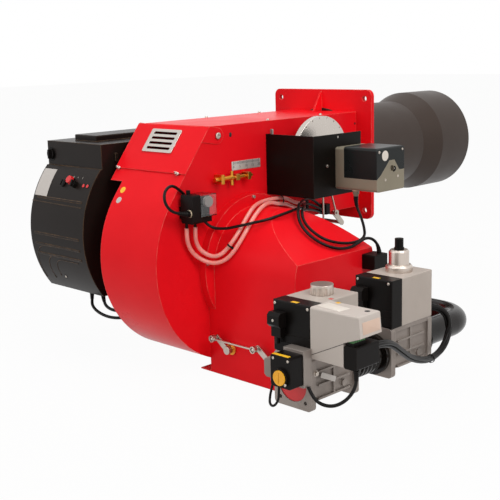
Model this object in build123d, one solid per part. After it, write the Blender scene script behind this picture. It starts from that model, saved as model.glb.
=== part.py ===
"""Industrial gas burner for a boiler, with its gas train, built as an assembly of separate pieces.

The burner fires along +Y into the boiler. +X is the side of the air box and gas train, +Z is up.
The origin is the centre of the boiler flange's mating face, on the firing axis. Millimetres.
"""
import os
from math import acos, atan2, cos, degrees, hypot, pi, radians, sin, sqrt, tan

from build123d import *

# Clearances
SEAT = 0.3           # between curved faces of two pieces that lie together
RUN = 0.06           # radial, shaft in its bearing
SLIDE = 0.3          # round a sliding or swinging piece

# Boiler flange and blast tube
FLANGE_SIDE = 358.0
FLANGE_THICK = 12.0
FLANGE_CORNER_R = 18.0
FLANGE_BOLT_SPACING = 310.0
FLANGE_BOLT_R = 7.5
RIB_DEPTH = 36.0
RIB_THICK = 5.0
TUBE_R = 126.5
TUBE_WALL = 4.0
TUBE_STRAIGHT = 313.0
CONE_END = 382.0
MOUTH_R = 150.0
TUBE_LENGTH = 526.0

# Red fan casing
CASE_WALL = 4.0
CASE_TOP = 119.0
CASE_RIGHT = 126.0
CASE_LEFT = -132.0
CASE_BEND_R = 24.0
CASE_REAR_Y = -566.0
DUCT_FLOOR = -146.0
DUCT_REAR_Y = -240.0
SCROLL_LEFT = -86.0
SCROLL_R = 261.0
SCROLL_Y = -489.0
SCROLL_Z = -207.0
STEP_Z = -16.0

# Fan and motor
FAN_Y = -446.0
FAN_Z = -227.0
FAN_R = 165.0
FAN_WIDTH = 120.0
FAN_BACK_X = -45.0
FAN_BLADES = 12
FAN_PLATE = 3.0
FAN_EYE_R = 100.0
FAN_HUB_R = 32.0
FAN_HUB_LENGTH = 40.0
FAN_LIP = 12.0
CONE_GAP = 4.0
INLET_HOLE_R = 118.0
INLET_FLANGE_R = 130.0
SHAFT_R = 14.0
SPIGOT_R = 60.0
MOTOR_R = 82.0
MOTOR_FLANGE_R = 105.0
MOTOR_FLANGE_THICK = 12.0
MOTOR_LENGTH = 230.0
MOTOR_FINS = 16
MOTOR_FIN_H = 6.0

# Air box on the right of the casing
COLLAR_R = 171.0
COLLAR_THICK = 23.0
BOX_HALF = 143.0
BOX_RIGHT = 411.0
BOX_RIDGE_Z = -178.5
BOX_ARCH_X = 242.0
BOX_FLOOR = -484.0
BOX_WALL = 3.0
INTAKE_LIP = 18.0
INTAKE_FLANGE_LEFT = 89.0
INTAKE_HOLE_R = 4.5

# Air dampers
DAMPER_X = (203.0, 341.0)
DAMPER_Z = -410.0
DAMPER_R = 6.0
BLADE_THICK = 2.0
LEVER_DX = -35.0
LEVER_DZ = 26.0
LEVER_THICK = 4.0
LEVER_WIDTH = 14.0
BALL_R = 5.5
LINK_R = 2.5

# Servo motor and cam
CAM_BOX_LENGTH = 158.0
CAM_BOX_Y = (-375.0, -192.0)
CAM_BOX_Z = (-66.0, 86.0)
CAM_BOX_WALL = 2.0
SERVO_Y = (-293.0, -183.0)
SERVO_Z = (-50.0, 54.0)
SERVO_LENGTH = 128.0
SERVO_AXIS_Y = -233.0
SERVO_AXIS_Z = 4.0
SERVO_SHAFT_R = 6.0
CAM_X = 196.0
CAM_THICK = 16.0
CAM_R = 103.0
CAM_RISE = 17.0
CRANK_R = 43.0
CRANK_ANGLE = 135.0

# Gas train
TRAIN_X = 591.0
TRAIN_Z = -352.0
VALVE_HALF = 48.7
VALVE_1_Y = (-800.0, -652.0)
VALVE_2_Y = (-541.0, -393.0)
VALVE_BOTTOM = -401.0
VALVE_TOP = -291.0
COIL_TOP = -187.0
COIL_COVER = 36.6
PIPE_R = 30.15
PIPE_WALL = 3.6
ELBOW_R = 76.0
THROTTLE_Y = -175.0
THROTTLE_HALF = 14.0
THROTTLE_Z = DUCT_FLOOR - THROTTLE_HALF
PORT_R = 45.0

# Combustion head inside the tube
HEAD_TUBE_R = 38.0
HEAD_TUBE_REAR = -205.0
HEAD_TUBE_END = 440.0
DIFFUSER_R = 98.0
HEAD_ROD_X = 141.0
HEAD_ROD_Z = -8.0
HEAD_TRAVEL = 25.0
HEAD_SLOT_Y = -497.0

# Inspection cover
COVER_THICK = 2.0
COVER_STAND = 1.0     # under the cover, which swings clear of the casing
COVER_FOOT_Z = 12.0
PIN_Y = -545.0
PIN_Z = 95.0
PIN_R = 5.0
PIN_OUT = 5.0
EAR_R = 20.0

# Control hood over the motor
HOOD_X = (-400.0, -160.0)
HOOD_Y = -491.0
HOOD_Z = -163.0
HOOD_R = 255.0
HOOD_FLOOR = -318.0
HOOD_FRONT_Y = -340.0
HOOD_TOP = 71.0
HOOD_STEP_Z = 8.0
HOOD_BOX_Y = -675.0
HOOD_WALL = 3.0


def block(x, y, z):
    """A box between two values on each axis."""
    size = Box(x[1] - x[0], y[1] - y[0], z[1] - z[0])
    return Pos((x[0] + x[1]) / 2, (y[0] + y[1]) / 2, (z[0] + z[1]) / 2) * size


def rod_x(y, z, r, x0, x1):
    return Pos((x0 + x1) / 2, y, z) * Rot(0, 90, 0) * Cylinder(r, x1 - x0)


def rod_y(x, z, r, y0, y1):
    return Pos(x, (y0 + y1) / 2, z) * Rot(90, 0, 0) * Cylinder(r, y1 - y0)


def rod_z(x, y, r, z0, z1):
    return Pos(x, y, (z0 + z1) / 2) * Cylinder(r, z1 - z0)


def slab_x(face, x0, x1):
    """Extrude a face drawn as (Y, Z) from x0 to x1."""
    return Pos(x0, 0, 0) * extrude(Plane.YZ * face, x1 - x0)


def slab_y(face, y0, y1):
    """Extrude a face drawn as (X, Z) from y0 to y1."""
    return Pos(0, y1, 0) * extrude(Plane.XZ * face, y1 - y0)


def polygon(*points):
    return make_face(Polyline(*points, close=True).edges())


def turned(profile, place):
    """Revolve (radius, height) points about Z, then place the result."""
    face = Plane.XZ * polygon(*profile)
    return place * revolve(face, Axis.Z, 360)


def bar(start, end, r):
    """A round bar between two points."""
    start = Vector(*start)
    end = Vector(*end)
    plane = Plane(origin=start, z_dir=end - start)
    return extrude(plane * Circle(r), (end - start).length)


def strap_xz(start, end, width, y0, y1):
    """A flat lever with round ends, lying in the X-Z plane between y0 and y1."""
    length = hypot(end[0] - start[0], end[1] - start[1])
    turn = degrees(atan2(end[1] - start[1], end[0] - start[0]))
    middle = ((start[0] + end[0]) / 2, (start[1] + end[1]) / 2)
    face = Pos(middle[0], middle[1]) * Rot(0, 0, turn) * SlotCenterToCenter(length, width)
    return slab_y(face, y0, y1)


def strap_yz(start, end, width, x0, x1):
    """A flat lever with round ends, lying in the Y-Z plane between x0 and x1."""
    length = hypot(end[0] - start[0], end[1] - start[1])
    turn = degrees(atan2(end[1] - start[1], end[0] - start[0]))
    middle = ((start[0] + end[0]) / 2, (start[1] + end[1]) / 2)
    face = Pos(middle[0], middle[1]) * Rot(0, 0, turn) * SlotCenterToCenter(length, width)
    return slab_x(face, x0, x1)


# Boiler flange and blast tube

def boiler_flange():
    """Square mounting plate with four bolt holes and the opening for the tube."""
    half = FLANGE_SIDE / 2
    plate = slab_y(RectangleRounded(FLANGE_SIDE, FLANGE_SIDE, FLANGE_CORNER_R), -FLANGE_THICK, 0)
    plate -= rod_y(0, 0, TUBE_R + SEAT, -FLANGE_THICK - 1, 1)
    at = FLANGE_BOLT_SPACING / 2
    for x in (-at, at):
        for z in (-at, at):
            plate -= rod_y(x, z, FLANGE_BOLT_R, -FLANGE_THICK - 1, 1)
    rib = polygon((-FLANGE_THICK, CASE_TOP + SEAT), (-FLANGE_THICK, half - 6),
                  (-FLANGE_THICK - 4, half - 6), (-FLANGE_THICK - RIB_DEPTH, CASE_TOP + SEAT))
    return plate + slab_x(rib, -RIB_THICK / 2, RIB_THICK / 2)


def blast_tube():
    """Rolled steel tube that flares to a wider mouth."""
    outer = [(TUBE_R, -FLANGE_THICK), (TUBE_R, TUBE_STRAIGHT), (MOUTH_R, CONE_END),
             (MOUTH_R, TUBE_LENGTH)]
    inner = [(r - TUBE_WALL, y) for r, y in reversed(outer)]
    return turned(outer + inner, Rot(-90, 0, 0))


# Fan casing

def slant_tangent():
    """Where the slanted rear panel runs into the scroll, and the panel's direction."""
    dy = CASE_REAR_Y - SCROLL_Y
    dz = CASE_TOP - SCROLL_Z
    away = hypot(dy, dz)
    angle = atan2(dz, dy) + acos(SCROLL_R / away)
    touch = (SCROLL_Y + SCROLL_R * cos(angle), SCROLL_Z + SCROLL_R * sin(angle))
    return touch, angle


def casing_face(inset):
    """Side outline of the whole casing in (Y, Z), moved inwards by inset."""
    _, angle = slant_tangent()
    r = SCROLL_R - inset
    top = CASE_TOP - inset
    floor = DUCT_FLOOR + inset
    touch = (SCROLL_Y + r * cos(angle), SCROLL_Z + r * sin(angle))
    along = (top - touch[1]) / cos(angle)
    corner = (touch[0] - along * sin(angle), top)
    tongue_angle = atan2(floor - SCROLL_Z, sqrt(r * r - (floor - SCROLL_Z) ** 2))
    tongue = (SCROLL_Y + r * cos(tongue_angle), floor)
    mid_angle = (angle + tongue_angle + 2 * pi) / 2
    mid = (SCROLL_Y + r * cos(mid_angle), SCROLL_Z + r * sin(mid_angle))
    front = -FLANGE_THICK
    edges = Polyline(tongue, (front, floor), (front, top), corner, touch).edges()
    edges += ThreePointArc(touch, mid, tongue).edges()
    return make_face(edges)


def casing_volume(inset):
    """Solid of the casing: the narrow scroll, plus the wider duct and upper body."""
    front = -FLANGE_THICK
    whole = casing_face(inset)
    narrow = slab_x(whole, SCROLL_LEFT + inset, CASE_RIGHT - inset)
    wide = slab_x(whole, CASE_LEFT + inset, SCROLL_LEFT + inset + 1)
    cut_rear = block((CASE_LEFT - 1, SCROLL_LEFT + inset + 1),
                     (SCROLL_Y - 2 * SCROLL_R, DUCT_REAR_Y - inset),
                     (SCROLL_Z - 2 * SCROLL_R, STEP_Z + inset))
    cut_low = block((CASE_LEFT - 1, SCROLL_LEFT + inset + 1),
                    (DUCT_REAR_Y - inset - 1, front + 1),
                    (SCROLL_Z - 2 * SCROLL_R, DUCT_FLOOR + inset))
    wide = wide - cut_rear - cut_low
    body = wide + narrow
    edge = [e for e in body.edges().filter_by(Axis.Y)
            if abs(e.center().X - CASE_LEFT - inset) < 0.5
            and abs(e.center().Z - CASE_TOP + inset) < 0.5]
    return fillet(edge, CASE_BEND_R - inset)


def casing():
    """Red sheet-steel casing: scroll round the fan and duct to the boiler flange."""
    _, angle = slant_tangent()
    body = casing_volume(0) - casing_volume(CASE_WALL)
    body -= block((CASE_LEFT + CASE_BEND_R, CASE_RIGHT - CASE_WALL),
                  (-FLANGE_THICK - CASE_WALL - 1, -FLANGE_THICK + 1),
                  (DUCT_FLOOR + CASE_WALL, CASE_TOP - CASE_WALL))
    body -= block((CASE_LEFT + CASE_WALL, CASE_RIGHT - CASE_WALL),
                  (-FLANGE_THICK - CASE_WALL - 1, -FLANGE_THICK + 1),
                  (DUCT_FLOOR + CASE_WALL, CASE_TOP - CASE_BEND_R))
    body -= rod_x(FAN_Y, FAN_Z, INLET_HOLE_R, CASE_RIGHT - CASE_WALL - 1, CASE_RIGHT + 1)
    body -= rod_x(FAN_Y, FAN_Z, SPIGOT_R + SEAT, SCROLL_LEFT - 1, SCROLL_LEFT + CASE_WALL + 1)
    body -= slant_window(angle)
    slot_front = HEAD_SLOT_Y + HEAD_TRAVEL + 6
    body -= block((CASE_RIGHT - CASE_WALL - 1, CASE_RIGHT + 1),
                  (HEAD_SLOT_Y - 6, slot_front), (HEAD_ROD_Z - 5, HEAD_ROD_Z + 5))
    body -= rod_z(0, THROTTLE_Y, PIPE_R + SEAT, DUCT_FLOOR - 1, DUCT_FLOOR + CASE_WALL + 1)
    body += rod_x(PIN_Y, PIN_Z, PIN_R - RUN, CASE_RIGHT - CASE_WALL, CASE_RIGHT + PIN_OUT)
    body += rod_x(PIN_Y, PIN_Z, PIN_R - RUN, CASE_LEFT - PIN_OUT, CASE_LEFT + CASE_WALL)
    return body


def slant_window(angle):
    """Opening in the slanted wall that the inspection cover closes."""
    middle_z = (CASE_TOP + COVER_FOOT_Z) / 2
    on = (middle_z - SCROLL_Z - SCROLL_R * sin(angle)) / cos(angle)
    y = SCROLL_Y + SCROLL_R * cos(angle) - on * sin(angle)
    length = (CASE_TOP - COVER_FOOT_Z) / cos(angle - pi / 2)
    window = Box(CASE_RIGHT - CASE_LEFT - 60, 3 * CASE_WALL, abs(length) - 44)
    tilt = degrees(angle) - 180
    return Pos((CASE_RIGHT + CASE_LEFT) / 2, y, middle_z) * Rot(tilt, 0, 0) * window


# Fan and motor

def fan_inlet_cone():
    """Bellmouth that leads the air into the eye of the fan."""
    throat = FAN_EYE_R - CONE_GAP
    end = FAN_BACK_X + FAN_WIDTH + FAN_LIP - 6
    face = CASE_RIGHT
    outer = [(INLET_FLANGE_R, face), (INLET_HOLE_R - 3, face), (throat + 8, face - 14),
             (throat, face - 28), (throat, end)]
    inner = [(throat - 2, end), (throat - 2, face - 27), (throat + 6, face - 12.5),
             (INLET_HOLE_R - 5, face + 3), (INLET_FLANGE_R, face + 3)]
    return turned(outer + inner, Pos(0, FAN_Y, FAN_Z) * Rot(0, 90, 0))


def fan_blade():
    """One backward-curved blade, from the eye to the rim."""
    rim = FAN_R - 3
    start = (FAN_EYE_R, 0)
    middle = (0.5 * (FAN_EYE_R + rim) * cos(radians(14)), -0.5 * (FAN_EYE_R + rim) * sin(radians(14)))
    stop = (rim * cos(radians(38)), -rim * sin(radians(38)))
    sheet = trace(ThreePointArc(start, middle, stop), FAN_PLATE)
    return slab_x(sheet, FAN_BACK_X + FAN_PLATE, FAN_BACK_X + FAN_WIDTH - FAN_PLATE)


def fan_wheel():
    """Centrifugal fan: back plate, hub, backward-curved blades and shroud ring."""
    x0 = FAN_BACK_X
    x1 = FAN_BACK_X + FAN_WIDTH
    wheel = rod_x(0, 0, FAN_R, x0, x0 + FAN_PLATE)
    wheel += rod_x(0, 0, FAN_HUB_R, x0 - 10, x0 - 10 + FAN_HUB_LENGTH)
    shroud = rod_x(0, 0, FAN_R, x1 - FAN_PLATE, x1)
    shroud += rod_x(0, 0, FAN_EYE_R + 2.5, x1 - FAN_PLATE, x1 + FAN_LIP)
    shroud -= rod_x(0, 0, FAN_EYE_R, x1 - FAN_PLATE - 1, x1 + FAN_LIP + 1)
    wheel += shroud
    for step in range(FAN_BLADES):
        wheel += Rot(360 * step / FAN_BLADES, 0, 0) * fan_blade()
    wheel -= rod_x(0, 0, SHAFT_R + RUN, x0 - 11, x0 + FAN_HUB_LENGTH)
    return Pos(0, FAN_Y, FAN_Z) * wheel


def motor_shaft():
    x0 = SCROLL_LEFT - MOTOR_LENGTH + 20
    return rod_x(FAN_Y, FAN_Z, SHAFT_R, x0, FAN_BACK_X + FAN_HUB_LENGTH - 10)


def motor_body():
    """Flange-mounted electric motor with cooling fins and a shaft bore."""
    x0 = SCROLL_LEFT - MOTOR_LENGTH
    motor = rod_x(0, 0, MOTOR_R, x0, SCROLL_LEFT)
    motor += rod_x(0, 0, MOTOR_FLANGE_R, SCROLL_LEFT - MOTOR_FLANGE_THICK, SCROLL_LEFT)
    motor += rod_x(0, 0, SPIGOT_R, SCROLL_LEFT - 1, SCROLL_LEFT + CASE_WALL)
    fin = block((x0 + 30, HOOD_X[1] - 25), (-1.5, 1.5), (MOTOR_R - 1, MOTOR_R + MOTOR_FIN_H))
    for step in range(MOTOR_FINS):
        motor += Rot(360 * step / MOTOR_FINS, 0, 0) * fin
    motor -= rod_x(0, 0, SHAFT_R + RUN, x0 + 19, SCROLL_LEFT + CASE_WALL + 1)
    return Pos(0, FAN_Y, FAN_Z) * motor


# Air box and dampers

def roof_face(inset, low, left):
    """Air box roof outline in (X, Z): level over the arch, then sloping to the ridge."""
    slope = atan2(FAN_Z + BOX_HALF - BOX_RIDGE_Z, BOX_RIGHT - BOX_ARCH_X)
    drop = inset / cos(slope)
    right = BOX_RIGHT - inset
    ridge = BOX_RIDGE_Z - drop + inset * tan(slope)
    top = FAN_Z + BOX_HALF - inset
    knee = BOX_RIGHT - (top - BOX_RIDGE_Z + drop) / tan(slope)
    return polygon((left, low), (right, low), (right, ridge), (knee, top), (left, top))


def arch_face(inset, low):
    """Air box outline in (Y, Z): straight sides under a half-round arch."""
    half = BOX_HALF - inset
    edges = Polyline((FAN_Y - half, FAN_Z), (FAN_Y - half, low), (FAN_Y + half, low),
                     (FAN_Y + half, FAN_Z)).edges()
    edges += ThreePointArc((FAN_Y + half, FAN_Z), (FAN_Y, FAN_Z + half), (FAN_Y - half, FAN_Z)).edges()
    return make_face(edges)


def box_volume(inset, low):
    left = CASE_RIGHT + inset
    roof = slab_y(roof_face(inset, low, left), FAN_Y - BOX_HALF + inset, FAN_Y + BOX_HALF - inset)
    return slab_x(arch_face(inset, low), left, BOX_RIGHT - inset) & roof


def air_box():
    """Red air box: arched hood over the fan inlet with an open, flanged intake below."""
    box = box_volume(0, BOX_FLOOR)
    box += rod_x(FAN_Y, FAN_Z, COLLAR_R, CASE_RIGHT, CASE_RIGHT + COLLAR_THICK)
    y0 = FAN_Y - BOX_HALF
    y1 = FAN_Y + BOX_HALF
    lip = block((INTAKE_FLANGE_LEFT, BOX_RIGHT), (y0, y1), (BOX_FLOOR, BOX_FLOOR + BOX_WALL))
    box += lip
    box -= box_volume(BOX_WALL, BOX_FLOOR + BOX_WALL)
    box -= block((CASE_RIGHT + INTAKE_LIP, BOX_RIGHT - INTAKE_LIP), (y0 + INTAKE_LIP, y1 - INTAKE_LIP),
                 (BOX_FLOOR - 1, BOX_FLOOR + BOX_WALL + 1))
    box -= rod_x(FAN_Y, FAN_Z, INLET_FLANGE_R + SEAT, CASE_RIGHT - 1, CASE_RIGHT + BOX_WALL + 1)
    for x in DAMPER_X:
        box -= rod_y(x, DAMPER_Z, BUSH_R + RUN, y0 - 1, y1 + 1)
    for x, y in intake_holes():
        box -= rod_z(x, y, INTAKE_HOLE_R, BOX_FLOOR - 1, BOX_FLOOR + BOX_WALL + 1)
    return box


def intake_holes():
    inset = INTAKE_LIP / 2 + BOX_WALL / 2
    xs = (CASE_RIGHT + inset, BOX_RIGHT - inset)
    ys = (FAN_Y - BOX_HALF + inset, FAN_Y + BOX_HALF - inset)
    return [(x, y) for x in xs for y in ys]


BUSH_R = 10.0
BUSH_OUT = 8.0
BLADE_HALF = 65.0
LEVER_Y = -603.0
BALL_Y = -620.0
AIR_LEVER_Y = -290.0
AIR_ROD_Y = -276.0


def damper(x):
    """A flat blade on its shaft, with the lever and ball stud on the rear end."""
    y0 = FAN_Y - BOX_HALF + BOX_WALL + 2
    y1 = FAN_Y + BOX_HALF - BOX_WALL - 2
    piece = block((x - BLADE_HALF, x + BLADE_HALF), (y0 + BUSH_IN, y1 - BUSH_IN),
                  (DAMPER_Z - BLADE_THICK / 2, DAMPER_Z + BLADE_THICK / 2))
    piece += rod_y(x, DAMPER_Z, DAMPER_R, LEVER_Y - LEVER_THICK - 2, FAN_Y + BOX_HALF + BUSH_OUT)
    ball = (x + LEVER_DX, DAMPER_Z + LEVER_DZ)
    lever = strap_xz((x, DAMPER_Z), ball, LEVER_WIDTH, LEVER_Y - LEVER_THICK, LEVER_Y)
    lever += rod_y(x, DAMPER_Z, DAMPER_R + 4, LEVER_Y - LEVER_THICK - 2, LEVER_Y + 2)
    lever += rod_y(ball[0], ball[1], BALL_R - 2.5, BALL_Y, LEVER_Y)
    lever += Pos(ball[0], BALL_Y, ball[1]) * Sphere(BALL_R)
    return piece + lever


BUSH_IN = 4.0


def air_pin():
    """Place of the air rod's lower ball, on the front lever of the first damper."""
    reach = CRANK_R * sin(radians(CRANK_ANGLE))
    return (DAMPER_X[0] + reach, DAMPER_Z + reach)


def damper_1():
    """The first damper also has a front lever with the ball stud of the air rod."""
    piece = damper(DAMPER_X[0])
    x, z = air_pin()
    front = FAN_Y + BOX_HALF + BUSH_OUT
    piece += rod_y(DAMPER_X[0], DAMPER_Z, DAMPER_R, front, AIR_LEVER_Y + 4)
    piece += strap_xz((DAMPER_X[0], DAMPER_Z), (x, z), LEVER_WIDTH, AIR_LEVER_Y - 2, AIR_LEVER_Y + 2)
    piece += rod_y(x, z, BALL_R - 2.5, AIR_LEVER_Y, AIR_ROD_Y)
    piece += Pos(x, AIR_ROD_Y, z) * Sphere(BALL_R)
    return piece


def ball_cup(x, y, z):
    """Rod end that closes round a ball stud whose stem runs along Y."""
    return rod_y(x, z, BALL_R + 3, y - 5, y + 5)


def damper_link():
    """Rod with a ball cup at each end that ties the two damper levers together."""
    z = DAMPER_Z + LEVER_DZ
    ends = [x + LEVER_DX for x in DAMPER_X]
    link = rod_x(BALL_Y, z, LINK_R, ends[0], ends[1])
    for x in ends:
        link += ball_cup(x, BALL_Y, z)
    for x in ends:
        link -= rod_y(x, z, BALL_R + SLIDE, BALL_Y - 6, BALL_Y + 6)
    return link


# Cam box, servo and cranks

def cam_box():
    """Black folded sheet on the casing wall, open at the top, the bottom and the boiler side."""
    x0 = CASE_RIGHT
    x1 = CASE_RIGHT + CAM_BOX_LENGTH
    y0, y1 = CAM_BOX_Y
    z0, z1 = CAM_BOX_Z
    wall = CAM_BOX_WALL
    box = block((x0, x1), (y0, y0 + wall), (z0, z1))
    box += block((x1 - wall, x1), (y0, y1), (z0, z1))
    box += block((x1 - 14, x1), (y1 - wall, y1), (z0, z1 - 8))
    box += block((x0, x1), (y0, y0 + 14), (z0, z0 + wall))
    box += block((x0, x0 + wall), (y0, y0 + 16), (z0, z1))
    box -= rod_x(SERVO_AXIS_Y, SERVO_AXIS_Z, SERVO_SHAFT_R + 4, x1 - wall - 1, x1 + 1)
    box -= rod_x(CAM_HOLE[0], CAM_HOLE[1], 3, x1 - wall - 1, x1 + 1)
    return box


CAM_HOLE = (-281.0, 78.0)
PEDIMENT = ((-60.0, -12.0), (-43.0, -12.0), (-10.0, 20.0), (10.0, 20.0), (30.0, -6.0), (50.0, -6.0))
COVER_LINE_Z = -20.0
SERVO_BACK = 27.0


def servo_base():
    """Cast base of the servo motor: back plate, lower tub and the peaked front."""
    x0 = CASE_RIGHT + CAM_BOX_LENGTH
    x1 = x0 + SERVO_LENGTH
    y0, y1 = SERVO_Y
    z0, z1 = SERVO_Z
    base = block((x0, x0 + SERVO_BACK), (y0, y1), (z0, z1))
    base = fillet(base.edges().filter_by(Axis.X), 7)
    tub = block((x0, x1), (y0, y1), (z0, COVER_LINE_Z))
    low = [e for e in tub.edges().filter_by(Axis.X) if e.center().Z < z0 + 1]
    tub = fillet(low, 7)
    ay, az = SERVO_AXIS_Y, SERVO_AXIS_Z
    outline = [(y0, COVER_LINE_Z - 1), (y0, COVER_LINE_Z)]
    outline += [(ay + dy, az + dz) for dy, dz in PEDIMENT[1:5]]
    outline += [(y1, az + PEDIMENT[5][1]), (y1, COVER_LINE_Z - 1)]
    base += tub + slab_x(polygon(*outline), x1 - PEDIMENT_THICK, x1)
    base -= rod_x(ay, az, SERVO_SHAFT_R + RUN, x0 - 1, x0 + SERVO_BACK - 4)
    base -= rod_x(ay, az, 7, x1 - 6, x1 + 1)
    base += rod_z(GLAND[0], GLAND[1], 8, z0 - 10, z0)
    base += rod_z(GLAND[0], GLAND[1], 6, z0 - 16, z0 - 10)
    return base


GLAND = (337.0, -279.0)
PEDIMENT_THICK = 8.0


def servo_cover():
    """Dark cover over the servo's works, cut away round the peaked front of the base."""
    x0 = CASE_RIGHT + CAM_BOX_LENGTH + SERVO_BACK
    x1 = CASE_RIGHT + CAM_BOX_LENGTH + SERVO_LENGTH
    y0, y1 = SERVO_Y
    z1 = SERVO_Z[1] + 2
    cover = block((x0, x1), (y0, y1), (COVER_LINE_Z, z1))
    top = [e for e in cover.edges().filter_by(Axis.X) if e.center().Z > z1 - 1]
    top += [e for e in cover.edges().filter_by(Axis.Y) if e.center().Z > z1 - 1 and e.center().X > x1 - 1]
    cover = fillet(top, 7)
    ay, az = SERVO_AXIS_Y, SERVO_AXIS_Z
    outline = [(y0 - 1, COVER_LINE_Z - 1), (y0 - 1, COVER_LINE_Z)]
    outline += [(ay + dy, az + dz) for dy, dz in PEDIMENT[1:5]]
    outline += [(y1 + 1, az + PEDIMENT[5][1]), (y1 + 1, COVER_LINE_Z - 1)]
    return cover - slab_x(polygon(*outline), x1 - PEDIMENT_THICK, x1 + 1)


def cam_disc():
    """Eccentric cam sector on the servo shaft, with a thick rim, a web and adjusting screws."""
    x1 = CAM_X
    x0 = CAM_X - CAM_THICK
    rim = rod_x(CAM_OFFSET[0], CAM_OFFSET[1], CAM_R, x0, x1)
    rim -= rod_x(CAM_OFFSET[0], CAM_OFFSET[1], CAM_R - CAM_RIM, x0 - 1, x1 - CAM_WEB)
    reach = 3 * CAM_R
    first, last = CAM_SECTOR
    arms = [(reach * cos(radians(a)), reach * sin(radians(a))) for a in (last, 180, 270, first)]
    rim -= slab_x(polygon((0, 0), *arms), x0 - 1, x1 + 1)
    cam = rim + rod_x(0, 0, SERVO_SHAFT_R + 9, x0, x1 + 8)
    for step in range(CAM_SCREWS):
        angle = radians(first + 14 + step * (last - first - 28) / (CAM_SCREWS - 1))
        r = CAM_R - CAM_RIM / 2
        y = CAM_OFFSET[0] + r * cos(angle)
        z = CAM_OFFSET[1] + r * sin(angle)
        cam -= rod_x(y, z, 2, x1 - 3, x1 + 1)
    cam -= rod_x(0, 0, SERVO_SHAFT_R + RUN, x0 - 1, x1 + 9)
    return Pos(0, SERVO_AXIS_Y, SERVO_AXIS_Z) * cam


CAM_OFFSET = (-7.0, 17.0)
CAM_RIM = 9.0
CAM_WEB = 4.0
CAM_SECTOR = (-20.0, 142.0)
CAM_SCREWS = 9
CRANK_X = (218.0, 222.0)
AIR_CRANK_X = 226.0
GAS_CRANK_X = 212.0
PIN_SMALL_R = 3.0
EYE_R = 8.0
EYE_HALF = 3.0


def servo_shaft():
    """Shaft from the wall bearing to the servo, with the crank plate that moves both rods."""
    x1 = CASE_RIGHT + CAM_BOX_LENGTH + SERVO_BACK - 5
    shaft = rod_x(SERVO_AXIS_Y, SERVO_AXIS_Z, SERVO_SHAFT_R, CASE_RIGHT + 2, x1)
    tip = crank_pin()
    shaft += strap_yz((SERVO_AXIS_Y, SERVO_AXIS_Z), tip, 14, *CRANK_X)
    shaft += rod_x(*tip, PIN_SMALL_R, GAS_CRANK_X - 5, CRANK_X[0])
    slack = CRANK_R * (1 - sin(radians(CRANK_ANGLE)))
    return shaft + rod_x(*tip, PIN_SMALL_R, CRANK_X[1], AIR_CRANK_X + 5 + slack)


def crank_pin():
    away = radians(CRANK_ANGLE)
    return (SERVO_AXIS_Y + CRANK_R * cos(away), SERVO_AXIS_Z + CRANK_R * sin(away))


def air_rod():
    """Rod from the crank down to the first damper, with a slotted upper eye."""
    x, z = air_pin()
    top = crank_pin()[1]
    slack = CRANK_R * (1 - sin(radians(CRANK_ANGLE)))
    centre = crank_pin()[0] - slack / 2
    hole_r = PIN_SMALL_R + SLIDE
    eye = Pos(centre, top) * SlotOverall(slack + 2 * EYE_R, 2 * EYE_R)
    hole = Pos(centre, top) * SlotOverall(slack + 2 * hole_r + SLIDE, 2 * hole_r)
    head = slab_x(eye - hole, AIR_CRANK_X - EYE_HALF, AIR_CRANK_X + EYE_HALF)
    foot = (x, AIR_ROD_Y, z)
    rod = bar((AIR_CRANK_X, AIR_ROD_Y, top - EYE_R + 2), foot, LINK_R) + head + ball_cup(*foot)
    return rod - rod_y(x, z, BALL_R + SLIDE, AIR_ROD_Y - 6, AIR_ROD_Y + 6)


def gas_pin():
    away = radians(CRANK_ANGLE)
    return (THROTTLE_Y + CRANK_R * cos(away), THROTTLE_Z + CRANK_R * sin(away))


def gas_rod():
    """Rod from the gas crank to the throttle lever; both ends are plain eyes."""
    top = crank_pin()
    foot = gas_pin()
    x0 = GAS_CRANK_X - EYE_HALF
    x1 = GAS_CRANK_X + EYE_HALF
    rod = bar((GAS_CRANK_X, *top), (GAS_CRANK_X, *foot), LINK_R)
    for y, z in (top, foot):
        rod += rod_x(y, z, EYE_R, x0, x1)
    rod -= rod_x(top[0], top[1], PIN_SMALL_R + RUN, x0 - 1, x1 + 1)
    rod -= rod_x(foot[0], foot[1], PIN_SMALL_R + SLIDE, x0 - 1, x1 + 1)
    return rod


def gas_butterfly():
    """Throttle disc on its spindle, with the lever that the gas rod moves."""
    bore = PIPE_R - PIPE_WALL
    disc = rod_z(0, THROTTLE_Y, bore - 0.4, THROTTLE_Z - 1, THROTTLE_Z + 1)
    spindle = rod_x(THROTTLE_Y, THROTTLE_Z, SPINDLE_R, -PORT_R + 4, GAS_CRANK_X - 4)
    lever = strap_yz((THROTTLE_Y, THROTTLE_Z), gas_pin(), 14, GAS_CRANK_X - 8, GAS_CRANK_X - 4)
    pin = rod_x(*gas_pin(), PIN_SMALL_R, GAS_CRANK_X - 5, GAS_CRANK_X + 6)
    return disc + spindle + lever + pin


SPINDLE_R = 5.0
BOSS_R = 11.0
BOSS_OUT = 20.0


def gas_throttle_housing():
    """Slim butterfly valve body between the pipe and the duct, with a boss for the spindle."""
    z0 = THROTTLE_Z - THROTTLE_HALF
    z1 = THROTTLE_Z + THROTTLE_HALF
    body = rod_z(0, THROTTLE_Y, PORT_R, z0, z1)
    body += rod_x(THROTTLE_Y, THROTTLE_Z, BOSS_R, -PORT_R, PORT_R + BOSS_OUT)
    body -= rod_z(0, THROTTLE_Y, PIPE_R - PIPE_WALL, z0 - 1, z1 + 1)
    body -= rod_x(THROTTLE_Y, THROTTLE_Z, SPINDLE_R + RUN, -PORT_R + 3, PORT_R + BOSS_OUT + 1)
    return body


# Combustion head

SLEEVE_WALL = 6.0
SLEEVE_Y = (-235.0, -115.0)


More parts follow.
